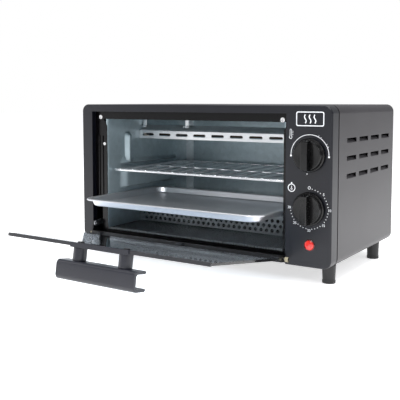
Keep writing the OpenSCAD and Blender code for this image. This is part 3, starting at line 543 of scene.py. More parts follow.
def skin(bm, rings, around=False):
    """Faces from each ring of points to the next; around joins the last ring to the first."""
    for a, b in zip(rings, rings[1:] + (rings[:1] if around else [])):
        for i in range(len(a)):
            j = (i + 1) % len(a)
            bm.faces.new((a[i], a[j], b[j], b[i]))


def capped(bm, rings):
    """Faces between rings, closed over the first and the last."""
    skin(bm, rings)
    bm.faces.new(rings[0])
    bm.faces.new(rings[-1])


def folded_strip(name, points, x0, x1, thickness):
    """A bent strip: a line in Y and Z swept along X and given the sheet's thickness."""
    bm = bmesh.new()
    line = [Vector((0, y, z)) for y, z in points]
    away = []
    for i, point in enumerate(line):
        run = line[min(i + 1, len(line) - 1)] - line[max(i - 1, 0)]
        away.append(Vector((0, run.z, -run.y)).normalized() * thickness)
    section = line + [p + a for p, a in zip(reversed(line), reversed(away))]
    capped(bm, [[bm.verts.new((x, p.y, p.z)) for p in section] for x in (x0, x1)])
    return finished(bm, name)


pierced_sheet = pierced_sheet_tree()
bright_sheet = finish("bright guard sheet", tone(196, 198, 200), tone(222, 224, 226), (0.3, 0.45),
                      metallic=0.85, fine=260.0, stretch=(0.1, 1, 1), relief=0.1)
ceramic = finish("glazed ceramic", tone(222, 218, 206), tone(236, 232, 222), (0.2, 0.35))
dress(heat_stained(), "upper_heater_rod", "lower_heater_rod")
dress(ceramic, "heater_insulators")

up_low, up_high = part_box("upper_guard")
guard_face = 11.5 * mm
guard_slots, slot_margins, slot_share = 9, 33.4 * mm, 0.68
slot_pitch = (up_high.x - up_low.x - slot_margins) / (guard_slots - 1)
slotted = grown(pierced_sheet, "slotted face", {"Width": up_high.x - up_low.x, "Height": guard_face,
    "Thickness": sheet, "Columns": guard_slots, "Rows": 1, "Pitch": slot_pitch,
    "Hole width": slot_share * slot_pitch, "Hole height": 4.2 * mm, "Hole corner": 2.09 * mm,
    "Corner steps": 6, "First hole": (-(guard_slots - 1) / 2 * slot_pitch, 0.0, 0.0)}, bright_sheet,
    upright((up_low.x + up_high.x) / 2, up_low.y + sheet, up_low.z + guard_face / 2))
bend = [(up_low.y + 0.1 * mm, up_low.z + guard_face), (up_low.y + 1.2 * mm, up_low.z + guard_face + 0.9 * mm),
        (up_low.y + 4 * mm, up_low.z + guard_face + 2 * mm), (up_high.y, up_high.z - sheet)]
hood = folded_strip("guard hood", bend, up_low.x, up_high.x, sheet)
piece("upper_heater_guard", joined("upper heater guard", slotted, hood), "cabinet", bright_sheet,
      "bright_sheet", "upper_guard")
rounded_piece("guard_hook_clips", "guard_hooks", 0.3 * mm, "cabinet", bright_sheet, "bright_sheet")

low_low, low_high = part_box("lower_guard")
hole_pitch, hole_size, screen_margins = 8.4 * mm, 5 * mm, 13.4 * mm
hole_columns = int((low_high.x - low_low.x - screen_margins) / hole_pitch)
screen_zinc = galvanised("screen sheet", tone(132, 136, 138), tone(152, 156, 158), (0.35, 0.45))
screen_height = low_high.z - low_low.z
screen = grown(pierced_sheet, "screen", {
    "Width": low_high.x - low_low.x, "Height": screen_height, "Thickness": sheet, "Columns": hole_columns,
    "Rows": 3, "Pitch": hole_pitch, "Row pitch": 6.8 * mm, "Shift": -hole_pitch / 2,
    "Hole width": hole_size, "Hole height": hole_size, "Hole corner": 2.49 * mm, "Corner steps": 4,
    "First hole": (-(hole_columns - 1) / 2 * hole_pitch + hole_pitch / 4, 5.2 * mm - screen_height / 2, 0.0)},
    screen_zinc, upright((low_low.x + low_high.x) / 2, low_low.y + sheet, low_low.z + screen_height / 2))
fold = folded_strip("screen fold", [(low_low.y + 0.4 * mm, low_high.z), (low_high.y, low_high.z)],
                    low_low.x, low_high.x, sheet)
piece("lower_heater_screen", joined("lower heater screen", screen, fold), "cabinet", screen_zinc,
      "floor_sheet", "lower_guard")
rounded_piece("crumb_drawer", "crumb_tray", 0.3 * mm, "crumb", floor_zinc, "floor_sheet", 1)
dress(bright_sheet, "heat_shield")

# ---- Front frame ----
# Gloss black enamelled sheet behind the door. Its mouth has cut-back upper corners, narrow ribs stiffen its
# sides, and bright dome-headed screws hold it at the corners.

frame_enamel = finish("black enamel", tone(7, 6, 8), tone(10, 9, 11), (0.18, 0.26), fine=700.0,
                      relief=0.05, Specular_IOR_Level=0.25)
rounded_piece("enamel_front_frame", "front_frame", 0.35 * mm, "cabinet", frame_enamel, "frame_black")
rounded_piece("front_frame_screws", "frame_screws", 0.5 * mm, "cabinet", screw_steel, "screw_steel")

# ---- Wrapper ----
# One steel sheet bent over the left side, top and right side, painted grey. Three rows of louvres are
# pierced in the right side, each with a lip pressed inwards under its opening.

wrap_low, wrap_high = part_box("outer_wrapper")
corner = 10 * mm
louvre_rows, louvre_columns = 3, 4
louvre_fill, louvre_inset, louvre_row_pitch = 0.75, 25 * mm, 21.5 * mm
louvre_pitch = (wrap_high.y - wrap_low.y - 2 * louvre_inset + 6 * mm) / (louvre_columns - 1 + louvre_fill)
louvre_length = louvre_fill * louvre_pitch
louvre_height, lip_height = 3 * mm, 2.8 * mm
louvre_top = wrap_high.z - 41 * mm


def corner_arc(x, z, start, radius, steps=10):
    """Points of a quarter turn about a centre."""
    return [(x + radius * math.cos(math.radians(start + 90 * k / steps)),
             z + radius * math.sin(math.radians(start + 90 * k / steps))) for k in range(steps + 1)]


def bent_cover():
    """The wrapper without its right wall: left side, top and the four rounded corners."""
    bm = bmesh.new()
    x0, x1, z0, z1 = wrap_low.x, wrap_high.x, 0.0, wrap_high.z
    paths = [corner_arc(x1 - corner, z1 - corner, 0, corner) + corner_arc(x0 + corner, z1 - corner, 90,
        corner) + corner_arc(x0 + corner, z0 + corner, 180, corner), corner_arc(x1 - corner, z0 + corner,
        270, corner)]
    for path in paths:
        inner = []
        for i, (x, z) in enumerate(path):
            ahead, behind = path[min(i + 1, len(path) - 1)], path[max(i - 1, 0)]
            run = Vector((ahead[0] - behind[0], ahead[1] - behind[1])).normalized()
            inner.append((x - run.y * sheet, z + run.x * sheet))
        section = path + inner[::-1]
        ends = [[bm.verts.new((x, y, z)) for x, z in section] for y in (wrap_low.y, wrap_high.y)]
        count = len(path)
        skin(bm, ends)
        for end in ends:
            for i in range(count - 1):
                bm.faces.new((end[i], end[i + 1], end[2 * count - 2 - i], end[2 * count - 1 - i]))
    return bm


wall_height = wrap_high.z - 2 * corner
wall_centre_y = (wrap_low.y + wrap_high.y) / 2
wall_centre_z = corner + wall_height / 2
opening = louvre_height + lip_height
lowest_row = louvre_top - (louvre_rows - 1) * louvre_row_pitch - louvre_height / 2 - lip_height
louvred = grown(pierced_sheet, "louvred side", {
    "Width": wrap_high.y - wrap_low.y, "Height": wall_height, "Thickness": sheet, "Columns": louvre_columns,
    "Rows": louvre_rows, "Pitch": louvre_pitch, "Row pitch": louvre_row_pitch, "Hole width": louvre_length,
    "Hole height": opening, "Hole corner": 0.9 * mm, "Corner steps": 3,
    "First hole": (wrap_low.y + louvre_inset + louvre_length / 2 - wall_centre_y,
                   lowest_row + opening / 2 - wall_centre_z, 0.0)}, wrapper_paint,
    Matrix.Translation((wrap_high.x - sheet, wall_centre_y, wall_centre_z))
    @ Matrix.Rotation(math.radians(90), 4, "Z") @ Matrix.Rotation(math.radians(90), 4, "X"))
lips = bmesh.new()
for row in range(louvre_rows):
    for column in range(louvre_columns):
        y = wrap_low.y + louvre_inset + column * louvre_pitch
        z = lowest_row + row * louvre_row_pitch
        curl = [(0, 0), (-0.5, 0.5), (-1.5, 1.4), (-2.6, 2.6), (-3.1, 3.4)]
        outer = [(wrap_high.x + a * mm, z + b * mm) for a, b in curl]
        inner = [(x - 0.6 * mm, z1 - 0.3 * mm) for x, z1 in outer]
        section = outer + inner[::-1]
        capped(lips, [[lips.verts.new((x, end_y, z1)) for x, z1 in section]
                      for end_y in (y, y + louvre_length)])
piece("wrapper", joined("wrapper", finished(bent_cover(), "cover", 50), louvred, finished(lips, "lips")),
      "cabinet", wrapper_paint, "wrapper_paint", "outer_wrapper")

# ---- Front surround ----
# Moulded left border, top border and control panel in one piece, satin blue-black, its edges rounded where
# they meet the sides. A recessed band inside it carries the wrapper and makes the dark gap between them.

surround_paint = finish("surround paint", tone(12, 14, 22), tone(16, 18, 26), (0.3, 0.38), fine=1500.0,
                        relief=0.15, Specular_IOR_Level=0.4)
surround_low, surround_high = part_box("front_fascia")


def rounded_outline(middle, half, inset, radius, steps):
    """A rounded rectangle's points, drawn in from its edge; its middle and half sizes are pairs."""
    points = []
    for k, (side_a, side_b) in enumerate(((1, 1), (-1, 1), (-1, -1), (1, -1))):
        points += corner_arc(middle[0] + side_a * (half[0] - inset - radius),
                             middle[1] + side_b * (half[1] - inset - radius), 90 * k, radius, steps)
    return points


def hoop(bm, inset, thickness, y0, y1):
    """A closed band that follows the body's rounded outline."""
    rings = []
    for depth, y in ((inset, y0), (inset, y1), (inset + thickness, y1), (inset + thickness, y0)):
        ring = rounded_outline((0, surround_high.z / 2), (surround_high.x, surround_high.z / 2), depth,
                               max(corner - depth, 1 * mm), 6)
        rings.append([bm.verts.new((x, y, z)) for x, z in ring])
    skin(bm, rings, around=True)


def outer_edge(at):
    """Whether a point of the surround lies on the outer edge of its front face."""
    return at.y < surround_low.y + 0.01 * mm and (
        abs(at.x) > surround_high.x - corner - 0.01 * mm and not (
            surround_low.z + corner < at.z < surround_high.z - corner
            and abs(at.x) < surround_high.x - 0.01 * mm)
        or at.z > surround_high.z - 0.01 * mm or at.z < 0.01 * mm)


band = bmesh.new()
hoop(band, 2.2 * mm, 1 * mm, surround_high.y - 3 * mm, surround_high.y + 7 * mm)
piece("front_surround", joined("front surround", softened("front_fascia", 0.6 * mm, 3, wide=(outer_edge,
    2 * mm)), finished(band, "wrapper seat")), "cabinet", surround_paint, "surround_paint", "front_fascia")

# ---- Panel prints and badge ----
# White ink on the control panel: a heat scale round the upper knob, minute marks round the lower one and
# two small signs. The badge is a plain rounded outline with three rising waves in it.

white_ink = finish("white ink", tone(214, 216, 220), tone(228, 230, 233), (0.45, 0.55), relief=0.03)
face_y = surround_low.y
dial_x = (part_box("thermostat_knob")[0].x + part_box("thermostat_knob")[1].x) / 2
heat_z = (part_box("thermostat_knob")[0].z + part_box("thermostat_knob")[1].z) / 2
time_z = (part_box("timer_knob")[0].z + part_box("timer_knob")[1].z) / 2
ink = 0.06 * mm


def stroke(bm, points, width, ring=False):
    """A line of ink on the panel through points in X and Z."""
    path = [Vector((x, z)) for x, z in points]
    count = len(path)
    sides = ([], [])
    for i, point in enumerate(path):
        ahead = path[(i + 1) % count] if ring else path[min(i + 1, count - 1)]
        behind = path[i - 1] if ring else path[max(i - 1, 0)]
        run = (ahead - behind).normalized()
        across = Vector((-run.y, run.x)) * width / 2
        for side, at in zip(sides, (point + across, point - across)):
            side.append([bm.verts.new((at.x, y, at.y)) for y in (face_y - ink, face_y)])
    for i in range(count if ring else count - 1):
        j = (i + 1) % count
        (a0, a1), (b0, b1), (c0, c1), (d0, d1) = sides[0][i], sides[0][j], sides[1][j], sides[1][i]
        for quad in ((a0, b0, c0, d0), (a1, b1, c1, d1), (a0, b0, b1, a1), (d0, c0, c1, d1)):
            bm.faces.new(quad)
    if not ring:
        for i in (0, count - 1):
            bm.faces.new((sides[0][i][0], sides[0][i][1], sides[1][i][1], sides[1][i][0]))


def arc(x, z, radius, start, sweep, steps=36):
    """Points clockwise from a start angle, both counted from twelve o'clock."""
    turns = [math.radians(start + sweep * k / steps) for k in range(steps + 1)]
    return [(x + radius * math.sin(t), z + radius * math.cos(t)) for t in turns]


def spoke(bm, z, turn, inner, outer, width):
    """A short radial mark round a dial."""
    s, c = math.sin(math.radians(turn)), math.cos(math.radians(turn))
    stroke(bm, [(dial_x + inner * s, z + inner * c), (dial_x + outer * s, z + outer * c)], width)


def numerals(labels, z, radius, height):
    """Upright numbers set round a dial, as one mesh."""
    bm = bmesh.new()
    for turn, label in labels:
        curve = bpy.data.curves.new("numeral", "FONT")
        curve.body = label
        curve.size = height
        curve.extrude = ink / 2
        curve.align_x, curve.align_y = "CENTER", "CENTER"
        mesh = evaluated(placed("numeral", curve))
        s, c = math.sin(math.radians(turn)), math.cos(math.radians(turn))
        mesh.transform(upright(dial_x + radius * s, face_y - ink / 2, z + radius * c))
        bm.from_mesh(mesh)
    return bm


prints = numerals([(45 * k, str(5 * k)) for k in range(1, 7)], time_z, 25.4 * mm, 4.2 * mm)
stroke(prints, arc(dial_x, heat_z, 23.8 * mm, -90, 180), 0.65 * mm)
for turn in (-93, 93):
    spoke(prints, heat_z, turn, 22.8 * mm, 24.9 * mm, 2 * mm)
for turn in (26, 34, 58, 66):
    spoke(prints, heat_z, turn, 23.8 * mm, 25.4 * mm, 0.7 * mm)
spoke(prints, heat_z, 188, 21.4 * mm, 23 * mm, 1 * mm)
for minute in range(1, 31):
    if minute % 5:
        spoke(prints, time_z, 9 * minute, 23.2 * mm, 24.2 * mm, 0.8 * mm)
stroke(prints, arc(dial_x, time_z + 24.6 * mm, 1.5 * mm, 0, 360 - 12, 20), 0.6 * mm, ring=True)
watch_x, watch_z = dial_x - 22.6 * mm, time_z + 23.4 * mm
stroke(prints, arc(watch_x, watch_z, 4.4 * mm, 0, 350, 24), 1 * mm, ring=True)
stroke(prints, [(watch_x, watch_z + 4.6 * mm), (watch_x, watch_z + 6.6 * mm)], 1.6 * mm)
stroke(prints, [(watch_x, watch_z - 0.6 * mm), (watch_x, watch_z + 2.4 * mm)], 0.7 * mm)
stroke(prints, arc(watch_x, watch_z - 1.2 * mm, 0.9 * mm, 0, 340, 12), 0.6 * mm, ring=True)
gauge_x, gauge_z = dial_x - 24.4 * mm, heat_z + 20.4 * mm
stroke(prints, arc(gauge_x, gauge_z, 1.7 * mm, 30, 300, 14), 0.6 * mm)
for side in (-0.85, 0.85):
    stroke(prints, [(gauge_x + side * mm, gauge_z + 1.4 * mm), (gauge_x + side * mm, gauge_z + 8.4 * mm)],
           0.5 * mm)
stroke(prints, arc(gauge_x, gauge_z + 8.4 * mm, 0.85 * mm, -90, 180, 8), 0.5 * mm)
for rise in (3, 5, 7):
    stroke(prints, [(gauge_x + 2 * mm, gauge_z + rise * mm), (gauge_x + 3.4 * mm, gauge_z + rise * mm)],
           0.5 * mm)
piece("panel_prints", finished(prints, "panel prints"), "cabinet", white_ink, "badge_plate")

badge_low, badge_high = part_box("panel_badge")
badge_x, badge_z = (badge_low.x + badge_high.x) / 2, (badge_low.z + badge_high.z) / 2
badge_half_x, badge_half_z = (badge_high.x - badge_low.x) / 2, (badge_high.z - badge_low.z) / 2
plate_corner = 2.2 * mm
rim_line = bmesh.new()
rings = []
for inset, rise, radius in ((0, 0, plate_corner), (0.15, 0.5, plate_corner), (0.4, 0.6, 2 * mm),
                            (0.9, 0.6, 1.6 * mm), (1.15, 0.3, 1.4 * mm), (1.2, 0, 1.4 * mm)):
    outline = rounded_outline((badge_x, badge_z), (badge_half_x, badge_half_z), inset * mm, radius, 5)
    rings.append([rim_line.verts.new((x, face_y - rise * mm, z)) for x, z in outline])
skin(rim_line, rings, around=True)
for shift in (-6, 0, 6):
    wave = [(badge_x + shift * mm + 1.1 * mm * math.sin(math.radians(360 * k / 12)),
             badge_z - 5 * mm + 10 * mm * k / 12) for k in range(13)]
    stroke(rim_line, wave, 1.2 * mm)
piece("badge_outline", finished(rim_line, "badge outline"), "cabinet", white_ink, "badge_plate",
      "panel_badge")

# ---- Knobs, controls and pilot lamp ----
# Gloss black moulded knobs, each a stepped skirt, a drum and a straight grip bar, pressed on brass shafts.
# The thermostat, the clockwork timer with its bell and the lamp's holder sit behind the panel.

knob_plastic = finish("knob plastic", tone(5, 5, 6), tone(8, 8, 9), (0.2, 0.28), fine=800.0, relief=0.05,
                      Specular_IOR_Level=0.35)
brass = finish("turned brass", tone(196, 168, 104), tone(212, 184, 120), (0.25, 0.35), metallic=1.0,
               stretch=(1, 8, 1))
zinc_plate = finish("yellow zinc", tone(176, 170, 140), tone(196, 188, 152), (0.3, 0.42), metallic=0.9)
nut_steel = finish("nut steel", tone(160, 160, 158), tone(184, 184, 182), (0.3, 0.4), metallic=1.0)


def turned(bm, profile, x, z, steps=64, ring=False):
    """A solid turned about an axis along Y from points of radius and Y; ring closes the profile on itself."""
    rings = [[bm.verts.new((x + radius * math.cos(2 * math.pi * k / steps), y,
                            z + radius * math.sin(2 * math.pi * k / steps))) for k in range(steps)]
             for radius, y in profile]
    if ring:
        skin(bm, rings, around=True)
    else:
        capped(bm, rings)


def knob(node):
    """One knob from its CAD box: skirt, drum and grip bar with rounded top edges."""
    low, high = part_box(node)
    x, z, radius = (low.x + high.x) / 2, (low.z + high.z) / 2, (high.x - low.x) / 2
    back, front = high.y, low.y
    bm = bmesh.new()
    skirt = [(radius - 0.3 * mm, back), (radius, back - 0.3 * mm), (radius, back - 2.2 * mm),
             (radius - 0.5 * mm, back - 2.9 * mm), (radius - 1.5 * mm, back - 3.1 * mm),
             (radius - 1.8 * mm, back - 3.6 * mm), (radius - 2.4 * mm, back - 7.2 * mm),
             (radius - 2.9 * mm, back - 7.9 * mm), (radius - 3.8 * mm, back - 8.1 * mm),
             (radius - 9 * mm, back - 7.7 * mm), (1 * mm, back - 7.5 * mm)]
    turned(bm, skirt, x, z)
    half = 5 * mm
    reach = radius - 1.9 * mm
    sections = []
    for rise, inset in ((0.0, 0.0), (0.86, 0.7), (0.95, 1.0), (1.0, 1.9)):
        y = back - 7 * mm + (front - back + 7 * mm) * rise
        w, r = half - inset * mm, reach - inset * mm
        start = math.degrees(math.asin(w / r))
        ring = [(x + r * math.sin(math.radians(t)), z + r * math.cos(math.radians(t)))
                for t in [-start + 2 * start * k / 8 for k in range(9)]]
        ring += [(2 * x - a, 2 * z - b) for a, b in ring]
        sections.append([bm.verts.new((a, y, b)) for a, b in ring])
    capped(bm, sections)
    return finished(bm, node, 38)


piece("heat_knob", knob("thermostat_knob"), "thermostat_dial", knob_plastic, "knob_plastic",
      "thermostat_knob")
piece("minutes_knob", knob("timer_knob"), "timer_dial", knob_plastic, "knob_plastic", "timer_knob")
dress(brass, "thermostat_shaft", "timer_shaft", "timer_bell")
dress(ceramic, "thermostat_body", "lamp_holder", "terminal_block")
dress(zinc_plate, "timer_body")
dress(nut_steel, "control_nuts")


def lit_lens():
    """Clear red plastic with small facets, glowing from behind."""
    made = finish("lit red lens", tone(150, 12, 10), tone(180, 22, 14), (0.12, 0.2), Coat_Weight=0.6)
    tree = made.node_tree
    shader = tree.nodes["Principled BSDF"]
    facets = put(tree, "ShaderNodeTexVoronoi", {"Vector": own_place(tree), "Scale": 300.0})
    glow = put(tree, "ShaderNodeValToRGB", {"Fac": facets.outputs["Distance"]})
    glow.color_ramp.elements[0].color = tone(255, 60, 36)
    glow.color_ramp.elements[1].color = tone(110, 4, 4)
    feed(tree, glow.outputs["Color"], shader, "Emission Color")
    shader.inputs["Emission Strength"].default_value = 0.4
    bump = put(tree, "ShaderNodeBump", {"Height": facets.outputs["Distance"], "Strength": 0.5,
                                        "Distance": 0.5 * mm})
    feed(tree, bump, shader, "Normal")
    return made


lens_low, lens_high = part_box("lamp_lens")
lamp_x, lamp_z, lamp_radius = (lens_low.x + lens_high.x) / 2, (lens_low.z + lens_high.z) / 2, 7 * mm
dome = bmesh.new()
turned(dome, [(lamp_radius - 1.4 * mm, lens_high.y), (lamp_radius - 1.4 * mm, face_y),
              (lamp_radius - 1.3 * mm, face_y - 1 * mm), (lamp_radius - 1.7 * mm, face_y - 1.5 * mm),
              (lamp_radius - 2.8 * mm, face_y - 1.9 * mm), (2 * mm, face_y - 2.15 * mm),
              (0.6 * mm, lens_low.y)], lamp_x, lamp_z, 40)
piece("pilot_lamp_lens", finished(dome, "pilot lamp lens", 50), "cabinet", lit_lens(), "lamp_red",
      "lamp_lens")
bezel = bmesh.new()
bezel_section = ((6.98, 0), (6.98, 0.7), (6.6, 1.2), (6.1, 1.3), (5.75, 0.9), (5.72, 0))  # radius and rise
turned(bezel, [(radius * mm, face_y - rise * mm) for radius, rise in bezel_section], lamp_x, lamp_z, 48,
       ring=True)
bezel_red = finish("smoked red bezel", tone(58, 8, 9), tone(74, 12, 12), (0.12, 0.2), Coat_Weight=0.5)
piece("pilot_lamp_bezel", finished(bezel, "pilot lamp bezel", 50), "cabinet", bezel_red, "lamp_red")

# ---- Wire rack ----
# Chrome-plated steel: a closed frame of heavier bar with rounded corners, thinner wires welded across it
# from front to back and one bar under their middles. Each wire's end shows as a small lump on the front bar.


def wire_rack_tree():
    """Frame, cross wires, middle bar and the lumps where the wires end."""
    tree, size = new_tree("wire rack", {
        "Width": 0.26, "Depth": 0.18, "Bar radius": 0.0016, "Wire radius": 0.001, "Wires": 12,
        "Wire pitch": 0.022, "Corner": 0.006, "Lift": 0.0005})
    outline = put(tree, "GeometryNodeCurvePrimitiveQuadrilateral", {"Width": size["Width"],
        "Height": size["Depth"]})
    outline = put(tree, "GeometryNodeFilletCurve", {"Curve": outline, "Count": 6, "Radius": size["Corner"]},
                  mode="POLY")
    bar = put(tree, "GeometryNodeCurvePrimitiveCircle", {"Resolution": 16, "Radius": size["Bar radius"]})
    frame_bar = put(tree, "GeometryNodeCurveToMesh", {"Curve": outline, "Profile Curve": bar})
    half = maths(tree, "MULTIPLY", size["Depth"], 0.5)
    front = maths(tree, "MULTIPLY", half, -1.0)
    near = vector(tree, Y=front, Z=size["Lift"])
    far = vector(tree, Y=half, Z=size["Lift"])
    wire = put(tree, "GeometryNodeCurvePrimitiveLine", {"Start": near, "End": far})
    round_wire = put(tree, "GeometryNodeCurvePrimitiveCircle", {"Resolution": 12,
        "Radius": size["Wire radius"]})
    span = maths(tree, "ADD", size["Wires"], -1.0)
    first = maths(tree, "MULTIPLY", span, size["Wire pitch"])
    first = maths(tree, "MULTIPLY", first, -0.5)
    places = put(tree, "GeometryNodeMeshLine", {
        "Count": size["Wires"], "Start Location": vector(tree, X=first),
        "Offset": vector(tree, X=size["Wire pitch"])})
    wires = put(tree, "GeometryNodeInstanceOnPoints", {"Points": places, "Instance": wire})
    wires = put(tree, "GeometryNodeRealizeInstances", {"Geometry": wires})
    wires = put(tree, "GeometryNodeCurveToMesh", {"Curve": wires, "Profile Curve": round_wire,
        "Fill Caps": True})
    lump = put(tree, "GeometryNodeMeshUVSphere", {"Segments": 12, "Rings": 8, "Radius": size["Bar radius"]})
    lump = put(tree, "GeometryNodeTransform", {
        "Geometry": lump, "Scale": (0.95, 0.95, 0.8),
        "Translation": vector(tree, Y=front, Z=size["Wire radius"])})
    lumps = put(tree, "GeometryNodeInstanceOnPoints", {"Points": places, "Instance": lump})
    reach = maths(tree, "MULTIPLY", size["Width"], 0.5)
    under = maths(tree, "SUBTRACT", size["Lift"], size["Wire radius"])
    left = maths(tree, "MULTIPLY", reach, -1.0)
    middle = put(tree, "GeometryNodeCurvePrimitiveLine", {
        "Start": vector(tree, X=left, Z=under),
        "End": vector(tree, X=reach, Z=under)})
    middle = put(tree, "GeometryNodeCurveToMesh", {"Curve": middle, "Profile Curve": round_wire})
    whole = put(tree, "GeometryNodeJoinGeometry")
    for part in (frame_bar, wires, lumps, middle):
        tree.links.new(part.outputs[0], whole.inputs[0])
    return close_tree(tree, whole, size)


chrome = finish("rack chrome", tone(226, 228, 231), tone(238, 240, 242), (0.2, 0.28), metallic=0.85,
                fine=1200.0, relief=0.02)
bar_radius, wire_radius, wires = 1.6 * mm, 1.2 * mm, 12
rack_width = rack_high.x - rack_low.x - 2 * bar_radius
rack_depth = rack_high.y - rack_low.y - 2 * bar_radius
rack = grown(wire_rack_tree(), "wire rack", {
    "Width": rack_width, "Depth": rack_depth, "Bar radius": bar_radius, "Wire radius": wire_radius,
    "Wires": wires, "Wire pitch": rack_width / (wires - 0.1), "Corner": 2.6 * mm, "Lift": 0.4 * mm}, chrome,
    Matrix.Translation(((rack_low.x + rack_high.x) / 2, (rack_low.y + rack_high.y) / 2,
                        rack_high.z - bar_radius)), 60)
piece("plated_rack", rack, "rack", chrome, "rack_chrome", "wire_rack")

# ---- Baking tray ----
# Pressed aluminium with a rolled outer edge, a flat flared rim, drafted walls and a round-cornered floor. Its
# satin finish runs from side to side, with faint oven marks on the floor.

tray_radius = 20 * mm
tray_section = [  # inset from the outer edge and height under the rim, from the floor's middle outwards
    (26, -9.0), (11.4, -9.0), (9.8, -8.7), (8.9, -7.9), (8.5, -6.9), (6.9, -1.7), (6.5, -0.9), (5.6, -0.25),
    (4.6, -0.05), (1.4, -0.05), (0.5, -0.2), (0.08, -0.8), (0.0, -1.5), (0.2, -2.1), (0.8, -2.3),
    (1.0, -1.5), (1.3, -1.0), (4.8, -0.9), (5.6, -1.4), (6.1, -2.2), (7.7, -7.6), (8.6, -9.2), (10.2, -9.9),
    (26, -10.0)]
tray_steel = finish("satin aluminium", tone(188, 190, 194), tone(202, 204, 208), (0.3, 0.34), metallic=0.88,
                    fine=420.0, broad=10.0, stretch=(0.08, 1, 1), relief=0.01)
pan = bmesh.new()
rings = []
tray_middle = ((tray_low.x + tray_high.x) / 2, (tray_low.y + tray_high.y) / 2)
tray_half = ((tray_high.x - tray_low.x) / 2, (tray_high.y - tray_low.y) / 2)
for inset, drop in tray_section:
    ring = rounded_outline(tray_middle, tray_half, inset * mm, tray_radius - 0.55 * inset * mm, 10)
    rings.append([pan.verts.new((x, y, tray_high.z + drop * mm)) for x, y in ring])
capped(pan, rings)
piece("pressed_tray", finished(pan, "baking tray", 50), "tray", tray_steel, "tray_aluminium", "baking_tray")

# ---- Door ----
# A tempered glass pane clamped in a black channel that turns on two steel pins in nylon bushes. Small tapered
# clips and a thin dark trim hold the pane's edges.


def clear_glass():
    """Tempered glass with a cool tint; the faint smear pattern only changes its roughness."""
    made = bpy.data.materials.new("door pane glass")
    made.use_nodes = True
    tree = made.node_tree
    shader = tree.nodes["Principled BSDF"]
    for socket, value in (("Metallic", 0.0), ("Transmission Weight", 1.0), ("IOR", 1.5)):
        shader.inputs[socket].default_value = value
    grain = put(tree, "ShaderNodeGroup", node_tree=surface_grain)
    grain.inputs["Fine"].default_value = 60.0
    grain.inputs["Broad"].default_value = 12.0
    tint = put(tree, "ShaderNodeMix", {0: grain.outputs["Broad"], 6: tone(186, 197, 208), 7: tone(194, 204,
        214)}, data_type="RGBA")
    feed(tree, tint.outputs[2], shader, "Base Color")
    smear = put(tree, "ShaderNodeMapRange", {"Value": grain.outputs["Fine"], "From Min": 0.35,
        "From Max": 0.75, "To Min": 0.0, "To Max": 0.012})
    feed(tree, smear, shader, "Roughness")
    path = put(tree, "ShaderNodeLightPath")
    soft = maths(tree, "MAXIMUM", path.outputs["Is Shadow Ray"], path.outputs["Is Diffuse Ray"])
    let_through = put(tree, "ShaderNodeBsdfTransparent", {"Color": tone(238, 243, 247)})
    pane = put(tree, "ShaderNodeMixShader", {0: soft, 1: shader, 2: let_through})
    tree.links.new(pane.outputs[0], tree.nodes["Material Output"].inputs["Surface"])
    return made


rail_black = finish("rail black", tone(18, 18, 20), tone(24, 24, 26), (0.28, 0.36), relief=0.1)
trim_black = finish("trim black", tone(30, 31, 35), tone(38, 39, 43), (0.3, 0.4), relief=0.1)
bush_nylon = finish("bush nylon", tone(150, 144, 120), tone(164, 156, 132), (0.4, 0.5))
rounded_piece("door_pane", "door_glass", 0.6 * mm, "door", clear_glass(), "door_pane", 2)
rounded_piece("hinge_rail", "door_rail", 0.7 * mm, "door", rail_black, "black_paint")
rounded_piece("pane_clips", "rail_clips", 0.4 * mm, "door", rail_black, "black_paint")
rounded_piece("pane_edge_trim", "door_edge_trim", 0.3 * mm, "door", trim_black, "black_paint", 1)
rounded_piece("door_pins", "hinge_pins", 0.4 * mm, "door", screw_steel, "screw_steel")
dress(bush_nylon, "hinge_bushes")

# ---- Handle ----
# Satin dark grey mouldings: a strip hooked over the pane's edge, two round posts and a channel-shaped grip,
# held by two screws through the glass.

handle_plastic = finish("handle plastic", tone(30, 31, 38), tone(36, 37, 44), (0.26, 0.34), fine=1800.0,
                        relief=0.15)


def moulded_grip():
    """The grip's channel with large outer radii, drawn for the upright door and swung to its rest place."""
    hinge = next(j for j in frame["record"]["behaviour"]["joints"] if j["name"] == "door_hinge")
    swing = Matrix.Translation((0,
                                *hinge["pos_m"][1:])) @ Matrix.Rotation(-math.radians(hinge["range_deg"][0]),
        4, "X")
    corners = [(-18.6, 154.0, 1.6), (-18.6, 174.5, 4.0), (-41.1, 174.5, 4.8), (-41.1, 153.5, 1.6),
               (-37.7, 153.5, 1.6), (-37.7, 171.1, 1.8), (-22.0, 171.1, 1.4), (-22.0, 154.0, 1.6)]
    section = []
    for i, (y, z, radius) in enumerate(corners):
        here = Vector((y, z))
        to_last = (Vector(corners[i - 1][:2]) - here).normalized()
        to_next = (Vector(corners[(i + 1) % len(corners)][:2]) - here).normalized()
        centre = here + (to_last + to_next) * radius
        for k in range(6):
            turn = math.radians(18 * k)
            section.append(centre - to_next * radius * math.cos(turn) - to_last * radius * math.sin(turn))
    low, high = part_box("handle_grip")
    bm = bmesh.new()
    ends = [[bm.verts.new(swing @ Vector((x, p.x * mm, p.y * mm))) for p in section] for x in (low.x, high.x)]
    skin(bm, ends)
    caps = [bm.faces.new(end) for end in ends]
    bmesh.ops.bevel(bm, geom=[e for cap in caps for e in cap.edges], offset=0.8 * mm, segments=3, profile=0.5,
                    affect="EDGES", clamp_overlap=True)
    return finished(bm, "handle grip", 40)


rounded_piece("handle_strip", "handle_base", 0.6 * mm, "door", handle_plastic, "handle_plastic")
rounded_piece("handle_pillars", "handle_posts", 0.8 * mm, "door", handle_plastic, "handle_plastic", 3)
piece("handle_channel", moulded_grip(), "door", handle_plastic, "handle_plastic", "handle_grip")
rounded_piece("pane_screws", "handle_screws", 0.6 * mm, "door", rail_black, "screw_steel")

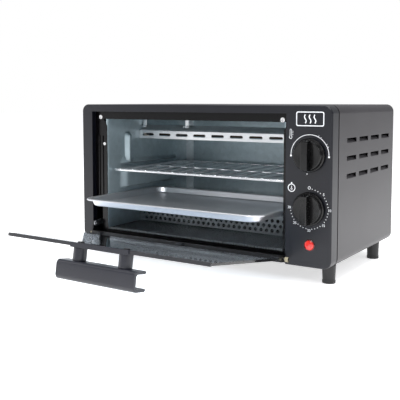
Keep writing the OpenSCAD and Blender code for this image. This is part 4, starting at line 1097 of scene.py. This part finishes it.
# ---- Door stay ----
# A flat plated link hooked on the hinge rail's ear, pulled by a close-wound tension spring that is hooked to
# a tab on the base.


def spring_tree():
    """A round wire wound along Z."""
    tree, size = new_tree("wound spring", {"Turns": 20.0, "Radius": 0.0027, "Length": 0.06,
                                           "Wire radius": 0.0005})
    helix = put(tree, "GeometryNodeCurveSpiral", {
        "Resolution": 20, "Rotations": size["Turns"], "Start Radius": size["Radius"],
        "End Radius": size["Radius"], "Height": size["Length"]})
    wire = put(tree, "GeometryNodeCurvePrimitiveCircle", {"Resolution": 8, "Radius": size["Wire radius"]})
    coil = put(tree, "GeometryNodeCurveToMesh", {"Curve": helix, "Profile Curve": wire, "Fill Caps": True})
    return close_tree(tree, coil, size)


stay_steel = finish("stay steel", tone(150, 152, 156), tone(172, 174, 178), (0.25, 0.35), metallic=1.0,
                    stretch=(1, 0.2, 1))
spring_low, spring_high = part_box("stay_spring")
spring_radius = (spring_high.x - spring_low.x) / 2
spring_start = Vector(((spring_low.x + spring_high.x) / 2, spring_low.y + 1 * mm,
                       spring_high.z - spring_radius))
spring_end = Vector((spring_start.x, spring_high.y - 1 * mm, spring_low.z + spring_radius))
spring_run = spring_end - spring_start
coil = grown(spring_tree(), "stay spring", {"Turns": 42.0, "Radius": spring_radius - 0.6 * mm,
                                            "Length": spring_run.length, "Wire radius": 0.55 * mm},
                                            stay_steel,
                                            Matrix.Translation(spring_start) @ spring_run.to_track_quat("Z",
    "Y").to_matrix().to_4x4(), 60)
piece("stay_spring_coil", coil, "cabinet", stay_steel, "stay_steel", "stay_spring")
rounded_piece("stay_strap", "stay_link", 0.35 * mm, "stay", stay_steel, "stay_steel")

# ---- Feet and cord entry ----
# Black moulded feet, tapered, with a ring at the bottom, each held by a screw in its well. The cord entry is
# a flanged bushing low on the back.

foot_plastic = finish("foot plastic", tone(22, 22, 23), tone(28, 28, 29), (0.4, 0.5), relief=0.3)
rounded_piece("moulded_feet", "feet", 0.5 * mm, "cabinet", foot_plastic, "black_plastic")
dress(screw_steel, "foot_screws")
rounded_piece("cord_bushing", "cord_gland", 0.5 * mm, "cabinet", foot_plastic, "black_plastic")
